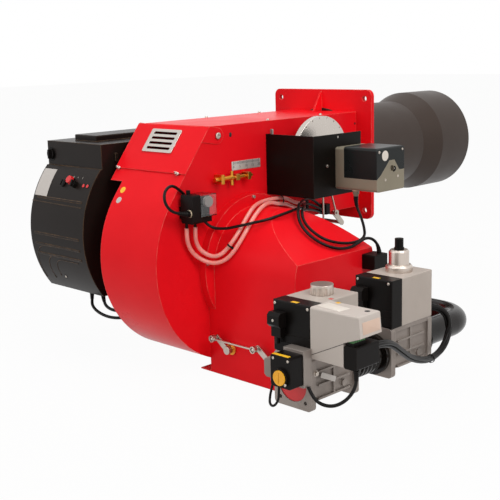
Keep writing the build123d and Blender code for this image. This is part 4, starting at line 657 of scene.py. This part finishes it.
def pick(kind, test):
    """In edit mode, selects the faces or edges whose middle and direction pass a test."""
    mesh = bmesh.from_edit_mesh(bpy.context.object.data)
    mesh.normal_update()
    for group in (mesh.verts, mesh.edges, mesh.faces):
        for item in group:
            item.select = False
    for item in getattr(mesh, kind):
        if kind == "faces":
            chosen = test(item.calc_center_median(), item.normal)
        else:
            a, b = item.verts
            chosen = test((a.co + b.co) / 2, (b.co - a.co).normalized())
        if chosen:
            item.select_set(True)
    bmesh.update_edit_mesh(bpy.context.object.data)


def edit(kind):
    """Goes into edit mode, to work on faces or edges."""
    bpy.ops.object.mode_set(mode="EDIT")
    bpy.ops.mesh.select_mode(type={"faces": "FACE", "edges": "EDGE"}[kind])


def done():
    """Leaves edit mode and gives the object."""
    bpy.ops.object.mode_set(mode="OBJECT")
    return bpy.context.object


def stand(obj, at, normal, up=(0, 0, 1)):
    """Turns a piece that was built facing +Z onto a surface; its origin comes to the place, in millimetres."""
    z = Vector(normal).normalized()
    y = (Vector(up) - z * z.dot(Vector(up))).normalized()
    turned = Matrix((y.cross(z), y, z)).transposed().to_4x4()
    turned.translation = Vector(at) * MM
    obj.matrix_world = turned
    return obj


def settle(obj, name, material, slot, body="burner", smooth=35):
    """Applies a piece's place, gives it its finish and lets it ride on a body."""
    obj.name = name
    only(obj)
    bpy.ops.object.transform_apply(location=True, rotation=True, scale=True)
    bpy.ops.object.shade_smooth_by_angle(angle=radians(smooth))
    obj.data.materials.clear()
    obj.data.materials.append(material)
    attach(obj, body)
    return obj


def twin(obj):
    """A copy with its own mesh."""
    other = obj.copy()
    other.data = obj.data.copy()
    bpy.context.scene.collection.objects.link(other)
    return other


def copies(obj, count):
    """A piece and its twins, as many as are asked for."""
    return [obj] + [twin(obj) for _ in range(count - 1)]


def weld(objs):
    """Joins pieces into one object."""
    only(*objs)
    bpy.ops.object.join()
    return bpy.context.object


# %% A rounded plate, a disc, a pan-head screw and a hexagon bolt


def plate(width, depth, thick, corner):
    """A thin plate with round corners and eased upper edges; its origin is at its foot."""
    bpy.ops.object.select_all(action="DESELECT")
    bpy.ops.mesh.primitive_cube_add(size=MM, location=(0, 0, thick / 2 * MM))
    bpy.context.object.scale = (width, depth, thick)
    bpy.ops.object.transform_apply(scale=True)
    edit("edges")
    pick("edges", lambda c, d: abs(d.z) > 0.9)
    bpy.ops.mesh.bevel(offset=corner * MM, segments=4, affect="EDGES")
    pick("faces", lambda c, n: n.z > 0.9)
    bpy.ops.mesh.inset(thickness=min(corner, thick) * 0.3 * MM)
    bpy.ops.transform.translate(value=(0, 0, thick * 0.15 * MM))
    return done()


def post(radius, height, sides, middle=0.5):
    """A short round or many-sided post with its origin in its middle, added at a share of its height."""
    bpy.ops.object.select_all(action="DESELECT")
    bpy.ops.mesh.primitive_cylinder_add(vertices=sides, radius=radius * MM, depth=height * MM,
                                        location=(0, 0, height * middle * MM))
    return bpy.context.object


def disc(radius, thick, sides=32):
    """A thin round plate."""
    return post(radius, thick, sides)


def pan_screw(radius, height):
    """A pan-head screw with a socket in its crown."""
    post(radius, height, 20)
    edit("faces")
    pick("faces", lambda c, n: n.z > 0.9)
    bpy.ops.mesh.inset(thickness=radius * 0.25 * MM)
    bpy.ops.transform.translate(value=(0, 0, height * 0.3 * MM))
    bpy.ops.mesh.inset(thickness=radius * 0.3 * MM)
    bpy.ops.mesh.extrude_region_move(TRANSFORM_OT_translate={"value": (0, 0, -height * 0.6 * MM)})
    return done()


def hex_bolt(radius, height):
    """A hexagon head with its washer below it, which the surface hides."""
    washer = disc(radius * 1.25, height * 0.22)
    return weld([washer, post(radius, height, 6, 0.65)])


print("plate, disc, screw and bolt are ready")

# %% [markdown]
# ## Finishes for the trim
#
# Labels on the real burner are foil, paper or print. Here they stay bare: they keep their colour, their slight wear
# and the sheen of the foil, but carry no words.

# %% Label foils, lenses and small parts
label_foil = hard_finish("label_foil", (196, 190, 184), drift=(180, 172, 166), gloss=(0.24, 0.36), metal=0.35,
                         grain=60.0, coarse=0.6, bump=0.06, radius=0.0004)


def paper(name, colour, gloss, drift=None, bump=0.05, radius=0.0004):
    """A printed or paper label."""
    return hard_finish(name, colour, drift=drift, gloss=gloss, grain=80.0, bump=bump, radius=radius)


label_white = paper("label_white", (226, 218, 208), (0.4, 0.52), (212, 202, 190))
label_yellow = paper("label_yellow", (244, 190, 36), (0.35, 0.45), (232, 174, 28))
label_orange = paper("label_orange", (208, 180, 162), (0.4, 0.5), (198, 164, 142))
scale_red = paper("scale_red", (176, 60, 50), (0.35, 0.45))
scale_blue = paper("scale_blue", (60, 110, 170), (0.35, 0.45))
print_black = paper("print_black", (24, 22, 22), (0.4, 0.5), bump=0.02, radius=0.0003)
strip_green = hard_finish("strip_green", (62, 128, 62), drift=(50, 110, 52), gloss=(0.35, 0.5), radius=0.0006)
cream_plastic = hard_finish("cream_plastic", (214, 196, 168), drift=(200, 180, 150), gloss=(0.35, 0.48))
orange_plastic = hard_finish("orange_plastic", (216, 96, 40), drift=(200, 84, 34), gloss=(0.35, 0.48))
# This near-black finish is painted shade: its flat discs and plates stand in for the dark inside holes, slots and
# recesses.
painted_hole_shade = hard_finish("painted_hole_shade", (10, 8, 8), gloss=(0.6, 0.75), bump=0.05, wear_and_glint=0.0)
SILVER = (steel, "steel")
# This pair gives the painted shade of holes and recesses.
PAINTED_HOLE_SHADE = (painted_hole_shade, "black_plastic")
BLACK = (black_plastic, "black_plastic")
FOIL = (label_foil, "polished_steel")
WHITE = (label_white, "grey_plastic")
YELLOW = (label_yellow, "yellow_plastic")
PRINT = (print_black, "black_plastic")
CREAM = (cream_plastic, "grey_plastic")
RED = (red_plastic, "red_plastic")
print("trim finishes done")

# %% [markdown]
# ## The hood's controls and beads
#
# The back of the control hood is a round moulding. Its beads are ridges that were moulded with it, so each one
# follows the surface: a spline runs a fraction below it through points given by a place along the hood and an angle
# above level, and gets a round section, so that about half of it is sunk. The label plate is a strip that is spun
# round the same axis.

# %% Places on the hood's round back
HOOD_Y, HOOD_Z, HOOD_R = -491.0, -163.0, 255.0


def on_back(x, angle, out=0.0):
    """Place and outward direction on the hood's round back, in millimetres."""
    away = Vector((0, -cos(radians(angle)), sin(radians(angle))))
    return Vector((x, HOOD_Y, HOOD_Z)) + away * (HOOD_R + out), away


def bead(name, spots, radius, out):
    """A moulded ridge along the back through (x, angle) spots."""
    line = [on_back(x, angle, out)[0] * MM for x, angle in spots]
    return settle(as_mesh(thick_line(name, "NURBS", line, radius * MM, 3, 8)), name, black_moulding, "black_moulding")


bead("hood_bead_upper", [(-396, 18.4), (-290, 18.2), (-178, 18.0)], 1.6, -0.3)
bead("hood_bead_outer", [(-182, -6.6), (-250, -7), (-330, -7), (-368, -9.5), (-386, -17), (-389, -26), (-388, -31)],
     1.7, -0.2)
bead("hood_bead_middle", [(-182, -12.4), (-240, -12.2), (-296, -12.2), (-330, -15), (-345, -22), (-340, -30)],
     1.7, -0.2)
bead("hood_bead_inner", [(-200, -15.2), (-255, -15), (-290, -15.4), (-308, -20), (-306, -27)], 1.5, -0.2)
print("beads done")

# %% The bare rating plate, spun round the hood's axis


def back_sheet(name, x0, x1, low, high, thick, material, slot):
    """A thin sheet that follows the hood's round back between two angles."""
    bpy.ops.object.select_all(action="DESELECT")
    bpy.ops.mesh.primitive_plane_add(size=MM)
    middle, away = on_back((x0 + x1) / 2, high, thick / 2 + 0.05)
    obj = bpy.context.object
    along = Vector((1, 0, 0))
    turned = Matrix((along, away, along.cross(away))).transposed().to_4x4()
    turned.translation = middle * MM
    obj.matrix_world = turned @ Matrix.Diagonal((x1 - x0, thick, 1, 1))
    bpy.ops.object.transform_apply(location=True, rotation=True, scale=True)
    bpy.ops.object.mode_set(mode="EDIT")
    bpy.ops.mesh.select_all(action="SELECT")
    bpy.ops.mesh.spin(steps=14, angle=-radians(high - low), center=(0, HOOD_Y * MM, HOOD_Z * MM), axis=(1, 0, 0))
    bpy.ops.mesh.select_all(action="SELECT")
    bpy.ops.mesh.remove_doubles(threshold=0.00001)
    bpy.ops.mesh.normals_make_consistent(inside=False)
    bpy.ops.object.mode_set(mode="OBJECT")
    return settle(obj, name, material, slot)


rating_plate = back_sheet("hood_rating_plate", -392, -337, 21.8, 39.2, 0.5, *FOIL)
print("rating plate vertices:", len(rating_plate.data.vertices))

# %% Lamps, the fuse holder and the painted shade in the recess of the lower screw
CONTROL_ANGLE = 31.0
LAMP_X = (-195.0, -178.5)
FUSE_X = -282.0
rings, lenses = copies(disc(6.0, 1.2), 2), copies(disc(4.6, 2.6, 24), 2)
for index, x in enumerate(LAMP_X):
    at, away = on_back(x, CONTROL_ANGLE)
    settle(stand(rings[index], at, away), f"lamp_ring_{index}", *BLACK)
    settle(stand(lenses[index], at, away), f"lamp_lens_{index}", *RED)
at, away = on_back(FUSE_X, CONTROL_ANGLE)
settle(stand(disc(9.5, 7.0), at, away), "fuse_holder", *BLACK)
settle(stand(plate(3.0, 15.0, 3.0, 0.8), at + away * 7.0, away), "fuse_holder_grip", *BLACK)
at, away = on_back(-286.0, -27.0)
settle(stand(disc(6.5, 0.6), at, away), "hood_screw_recess", *PAINTED_HOLE_SHADE)
settle(stand(pan_screw(3.4, 1.4), at + away * 0.4, away), "hood_screw", *SILVER)
settle(stand(disc(19.0, 1.6, 40), (-380, -675, 36), (0, -1, 0)), "main_switch_bezel", *BLACK)
settle(stand(plate(9.0, 22.0, 5.0, 3.0), (-160, -631, 36), (1, 0, 0)), "hood_latch", black_moulding, "black_moulding")
print("lamps:", len(LAMP_X))

# %% Plain numbers round the selector
NUMBER_ANGLE = 35.6
NUMBER_SPOTS = (("0", -250.0), ("1", -232.0), ("2", -213.0))


def figure(text, size, at, normal, name, material, slot):
    """One raised figure, thin as print."""
    bpy.ops.object.select_all(action="DESELECT")
    bpy.ops.object.text_add(location=(0, 0, 0))
    obj = bpy.context.object
    obj.data.body = text
    obj.data.size = size * MM
    obj.data.extrude = 0.1 * MM
    obj.data.align_x = "CENTER"
    obj.data.align_y = "CENTER"
    return settle(stand(as_mesh(obj), at, normal), name, material, slot)


for text, x in NUMBER_SPOTS:
    at, away = on_back(x, NUMBER_ANGLE, 0.2)
    figure(text, 6.0, at, away, "selector_mark_" + text, *WHITE)
print("marks:", [text for text, _ in NUMBER_SPOTS])

# %% [markdown]
# ## Pieces that sit on a CAD surface
#
# A screw or a label has to lie on its surface, whichever side it is seen from. The nearest point of the node's mesh
# gives both the place and the way the surface faces there, so each piece is only told roughly where it belongs.

# %% Touching a surface
NEAR_WALL, NEAR_SERVO, NEAR_TOP = 150, 440, -150


def touch(node, near):
    """The nearest place on a CAD node's surface, in millimetres, and its outward direction."""
    _, at, normal, _ = nodes[node].closest_point_on_mesh(Vector(near) * MM)
    return at / MM, normal


def put(piece, node, near, name, material, slot, body="burner", up=(0, 0, 1), out=0.0):
    """Sets a piece on a node's surface and finishes it."""
    at, away = touch(node, near)
    if abs(away.z) > 0.9 and up == (0, 0, 1):
        up = (0, 1, 0)
    return settle(stand(piece, at + away * out, away, up), name, material, slot, body)


def screws(prefix, radius, height, spots):
    """Equal pan-head screws, one for each (node, place)."""
    for index, (piece, (node, near)) in enumerate(zip(copies(pan_screw(radius, height), len(spots)), spots)):
        put(piece, node, near, f"{prefix}_{index}", *SILVER)


# %% The casing's right wall and the inspection cover
put(pan_screw(8, 3.4), "casing", (NEAR_WALL, -544.5, 95.1), "cover_pin_head", *SILVER)
# Painted shade: the slot and the small hole below are flat dark pieces on the wall.
put(plate(8, 11, 0.4, 3.4), "casing", (NEAR_WALL, -499, 94), "casing_slot", *PAINTED_HOLE_SHADE)
put(hex_bolt(5, 4), "casing", (NEAR_WALL, -427, -68), "casing_wall_bolt", *SILVER)
put(disc(3.2, 0.3), "casing", (NEAR_WALL, -17.7, 86.7), "casing_small_hole", *PAINTED_HOLE_SHADE)
washers, heads = copies(disc(9, 1.4), 2), copies(pan_screw(6.5, 3.4), 2)
for side, x in (("left", -122), ("right", 100)):
    at, away = touch("inspection_cover", (x, -680, 31))
    settle(stand(washers.pop(), at, away), f"cover_screw_washer_{side}", polished_steel, "polished_steel", "cover")
    settle(stand(heads.pop(), at + away * 1.2, away), f"cover_screw_{side}", *SILVER, "cover")
marks = copies(disc(8.5, 0.4), 2)
for name, material, near in (("yellow", label_yellow, (-66.5, -684.9, -34.6)),
                             ("grey", label_foil, (-62.5, -702.4, -56.8))):
    put(marks.pop(), "casing", near, "round_mark_" + name, material, "polished_steel")
print("wall pieces done")

# %% The scale plate above the head's rod
SCALE_Y, SCALE_Z = -448.0, 17.0
TICKS_FROM = SCALE_Y - 44
TICK_STEP = 4.4
put(plate(100, 22, 0.8, 1.5), "casing", (NEAR_WALL, SCALE_Y, SCALE_Z), "head_scale_plate", *FOIL)
wall, away = touch("casing", (NEAR_WALL, SCALE_Y, SCALE_Z))
long_ticks, short_ticks = copies(plate(1.3, 8.0, 0.25, 0.1), 5), copies(plate(1.3, 5.0, 0.25, 0.1), 16)
ticks = []
for step in range(21):
    tick = (short_ticks if step % 5 else long_ticks).pop()
    ticks.append(stand(tick, (wall.x + 0.85, TICKS_FROM + step * TICK_STEP, SCALE_Z + 6.5), away))
settle(weld(ticks), "head_scale_ticks", *PRINT)
for index in range(5):
    figure(str(index * 5), 9.0, (wall.x + 0.95, TICKS_FROM + index * 5 * TICK_STEP, SCALE_Z - 3), away,
           f"head_scale_{index * 5}", *PRINT)
print("ticks:", len(ticks))

# %% The servo drive's front
put(disc(12.5, 0.4, 40), "servo_cover", (NEAR_SERVO, -260.3, 36.5), "servo_round_label", *WHITE)
# The dark disc round the shaft is the painted shade of its hole.
put(disc(7, 1.2), "servo_base", (NEAR_SERVO, -232.1, 3.7), "servo_shaft_cap", *PAINTED_HOLE_SHADE)
put(disc(3.4, 2.4), "servo_base", (NEAR_SERVO, -232.1, 3.7), "servo_shaft_plug", *SILVER, out=0.6)
screws("servo_screw", 3.2, 1.6, (("servo_base", (NEAR_SERVO, -209.1, -17.4)),
                                 ("servo_base", (NEAR_SERVO, -258.9, -22.2)), ("servo_cover", (NEAR_SERVO, -284, 46))))
settle(stand(disc(9.5, 4), (337, -279, -50), (0, 0, -1), (0, 1, 0)), "servo_gland_ring", *CREAM)
put(plate(10, 22, 5, 2), "cam_box", (140, -288, 120), "cam_box_block", grey_plastic, "grey_plastic")
print("servo pieces done")

# %% The valves' coils and plugs
screws("coil_screw", 3.0, 1.6, (
    ("coil_cover_1", (548, -840, -193.5)), ("coil_cover_1", (633, -840, -193.5)),
    ("coil_cover_2", (549.6, -581, -193.5)), ("coil_cover_2", (631, -581, -193.5))))
labels, heads = copies(plate(17, 9, 0.4, 1), 2), copies(pan_screw(2.8, 1.6), 2)
for valve, y in ((1, -800), (2, -541)):
    put(labels.pop(), f"coil_cover_{valve}", (594, y + 8, NEAR_TOP), f"coil_label_{valve}", *YELLOW)
    put(heads.pop(), "connector_plugs", (561.8, y - 40, -223), f"plug_screw_{valve}", *SILVER)
SIDE_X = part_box("valve_body_1")[1][0] / MM
settle(stand(plate(48, 11, 0.5, 1), (SIDE_X, -750.8, -339.3), (1, 0, 0), (0, 0.42, 0.91)), "valve_1_plate", *FOIL)
settle(stand(hex_bolt(5, 4), (SIDE_X, -785.6, -323.7), (1, 0, 0)), "valve_1_bolt", *SILVER)
put(pan_screw(5, 3), "valve_body_1", (670, -712, -330), "valve_1_port_screw", *SILVER)
print("valve pieces done")

# %% The leak tester's bare labels, seam and the painted shade in its recess
TESTER_TURN = (0.13, 0.99, 0)
SEAM_TURN = (-0.426, 0, 0.905)
put(plate(60, 30, 0.4, 0.8), "leak_tester", (676, -773, NEAR_TOP), "tester_top_label", *WHITE, up=TESTER_TURN)
yellow_mark, red_mark = copies(plate(9, 8, 0.4, 0.8), 2)
put(yellow_mark, "leak_tester", (662, -743, NEAR_TOP), "tester_mark_yellow", *YELLOW, up=TESTER_TURN)
put(red_mark, "valve_coil_1", (632, -728.5, NEAR_TOP), "coil_mark_red", *RED)
# The dark disc is the painted shade of a recess in the tester.
put(disc(5.5, 0.5), "leak_tester", (742.3, -755.3, NEAR_TOP), "tester_recess", *PAINTED_HOLE_SHADE)
put(plate(52, 23, 0.4, 1), "leak_tester", (800, -765, -207), "tester_end_label", label_orange, "grey_plastic")
put(plate(90, 1.0, 0.3, 0.3), "leak_tester", (683, -840, -262.3), "tester_seam", *PRINT, up=SEAM_TURN)
print("tester pieces done")

# %% The terminal strip and the gas pressure switch
STRIP_X, STRIP_Y, STRIP_Z = 734.7, -778.0, -241.0
STRIP_PITCH, STRIP_BLOCKS = 6, 6
UPWARDS = ((0, 0, 1), (0, 1, 0))
blocks, heads = copies(plate(13, 5.2, 4, 1), STRIP_BLOCKS), copies(pan_screw(1.8, 1.0), STRIP_BLOCKS)
for index, (block, head) in enumerate(zip(blocks, heads)):
    y = STRIP_Y - 15 + index * STRIP_PITCH
    stand(block, (STRIP_X, y, STRIP_Z), *UPWARDS)
    stand(head, (STRIP_X, y, STRIP_Z + 4.4), *UPWARDS)
settle(weld(blocks), "terminal_strip", strip_green, "grey_plastic")
settle(weld(heads), "terminal_strip_screws", *SILVER)
put(plate(42, 9, 0.4, 1), "gas_switch_body", (611, -852, -240), "gas_switch_label", *YELLOW)
screws("gas_switch_screw", 2.8, 1.6,
       [("gas_switch_body", (x, -900, z)) for x, z in ((633, -283), (633, -332), (595, -283))])
put(plate(5, 30, 0.5, 0.6), "hydraulic_brake", (571, -466, -157), "brake_scale", scale_red, "red_plastic")
put(disc(2.6, 0.6, 16), "hydraulic_brake", (571, -444, -157), "brake_mark", scale_blue, "grey_plastic")
print("strip:", len(blocks), "blocks")

# %% [markdown]
# ## Glands, strain reliefs and ties
#
# Where a lead leaves its housing it is held by a soft sleeve that grows thinner outwards and is ringed so that it can
# bend. The sleeve follows the lead's own line, which is read from the smooth spline, and its radius falls from point
# to point. Ties are flat bands round the leads, turned to the line where they sit.

# %% Sleeves along the leads' own lines
SLEEVE_STEPS = 24


def line_of(lead_object):
    """The points of a lead's smooth line, without its thickness."""
    bare = twin(lead_object)
    bare.data.bevel_depth = 0
    line = bpy.data.meshes.new_from_object(bare)
    bpy.data.objects.remove(bare)
    return [v.co.copy() for v in line.vertices]


def sleeve(name, lead_name, wide, reach):
    """A ringed sleeve, thinner outwards, over the first stretch of a lead."""
    cord = bpy.data.objects[lead_name + "_line"]
    line = line_of(cord)
    narrow = (cord.data.bevel_depth / MM + 0.6) / wide
    spots, radii = [], []
    walked, at = 0.0, 0
    for index in range(SLEEVE_STEPS):
        share = index / (SLEEVE_STEPS - 1)
        goal = reach * MM * index / (SLEEVE_STEPS - 1)
        while at < len(line) - 2 and walked + (line[at + 1] - line[at]).length < goal:
            walked += (line[at + 1] - line[at]).length
            at += 1
        spots.append(line[at] + (line[at + 1] - line[at]).normalized() * (goal - walked))
        radii.append((1 - share + narrow * share) * (1.0 if index % 4 < 2 else 0.9))
    obj = thick_line(name, "POLY", spots, wide * MM, 4)
    for point, radius in zip(obj.data.splines[0].points, radii):
        point.radius = radius
    return settle(as_mesh(obj), name, *BLACK, smooth=60)


SLEEVES = (("air_switch", "air_switch_lead", 6.5, 26), ("servo", "servo_lead", 6.5, 26),
           ("wall_plug", "wall_plug_lead", 6.5, 24), ("terminal", "terminal_lead", 6.0, 24),
           ("hood_1", "hood_cable_1", 6.5, 20), ("hood_2", "hood_cable_2", 6.5, 20))
for name, lead_name, wide, reach in SLEEVES:
    sleeve("sleeve_" + name, lead_name, wide, reach)
settle(stand(disc(9, 4), (166, -677, -72), (0, -1, 0)), "air_switch_gland_ring", *CREAM)
settle(stand(plate(30, 12, 7, 2), (150, -628, -80), (1, 0, 0)), "air_switch_terminals", orange_plastic,
       "red_plastic")
for index, head in enumerate(copies(pan_screw(2.6, 1.6), 3)):
    settle(stand(head, (157, -638 + index * 10, -80), (1, 0, 0)), f"air_switch_screw_{index}", brass, "brass")
print("sleeves:", len(SLEEVES))

# %% Ties round the hoses and the valve leads


def tie(name, line, near, wide, tall):
    """A thin band round a line, at the point of it that is nearest to a place."""
    near = Vector(near) * MM
    index = min(range(1, len(line) - 1), key=lambda i: (line[i] - near).length)
    ahead = (line[index + 1] - line[index - 1]).normalized()
    bpy.ops.object.select_all(action="DESELECT")
    bpy.ops.mesh.primitive_cylinder_add(vertices=28, radius=1, depth=4 * MM)
    edit("faces")
    pick("faces", lambda c, n: abs(n.z) > 0.9)
    bpy.ops.mesh.inset(thickness=0.12)
    bpy.ops.mesh.delete(type="FACE")
    obj = done()
    obj.scale = (wide * MM, tall * MM, 1)
    bpy.ops.object.transform_apply(scale=True)
    band = obj.modifiers.new("band", "SOLIDIFY")
    band.thickness = 1.1 * MM
    only(obj)
    bpy.ops.object.modifier_apply(modifier="band")
    return settle(stand(obj, line[index] / MM, ahead), name, *BLACK)


line_a, line_b = [line_of(bpy.data.objects[name]) for name in ("hose_a_line", "hose_b_line")]
hose_line = [(a + min(line_b, key=lambda b: (a - b).length)) / 2 for a in line_a]
HOSE_TIE = (7.5, 14.0)
tie("hose_tie", hose_line, (157, -360, -84), *HOSE_TIE)
tie("hose_tie_low", hose_line, (220, -585, -166), *HOSE_TIE)
tie("valve_leads_tie", line_points, (668, -440, -376), 9.5, 9.5)
print("ties done")

# %% The pressure switch's plug is grey; the other plugs of the same node are black
GREY_BEHIND = -0.8245
plug_plastic = hard_finish("plug_plastic", (14, 11, 10), drift=(22, 18, 16), edge=(62, 56, 50), gloss=(0.32, 0.44),
                           grain=900.0, bump=0.2, radius=0.001, specular=0.1)
tree = plug_plastic.node_tree
shader = next(n for n in tree.nodes if n.type == "BSDF_PRINCIPLED")
black = shader.inputs["Base Color"].links[0].from_socket
place = tree.nodes.new("ShaderNodeTexCoord").outputs["Object"]
apart = tree.nodes.new("ShaderNodeSeparateXYZ")
tree.links.new(place, apart.inputs[0])
rear = maths(tree, "LESS_THAN", apart.outputs["Y"], GREY_BEHIND)
tree.links.new(blend_colours(tree, rear, black, linear((142, 132, 124))), shader.inputs["Base Color"])
mesh = nodes["connector_plugs"].data
for index in range(len(mesh.materials)):
    mesh.materials[index] = plug_plastic
print("plug material set on", len(mesh.materials), "slots")

# %% [markdown]
# ## Finish
#
# The last cell brings the view layer up to date.

# %% Finish
bpy.context.view_layer.update()
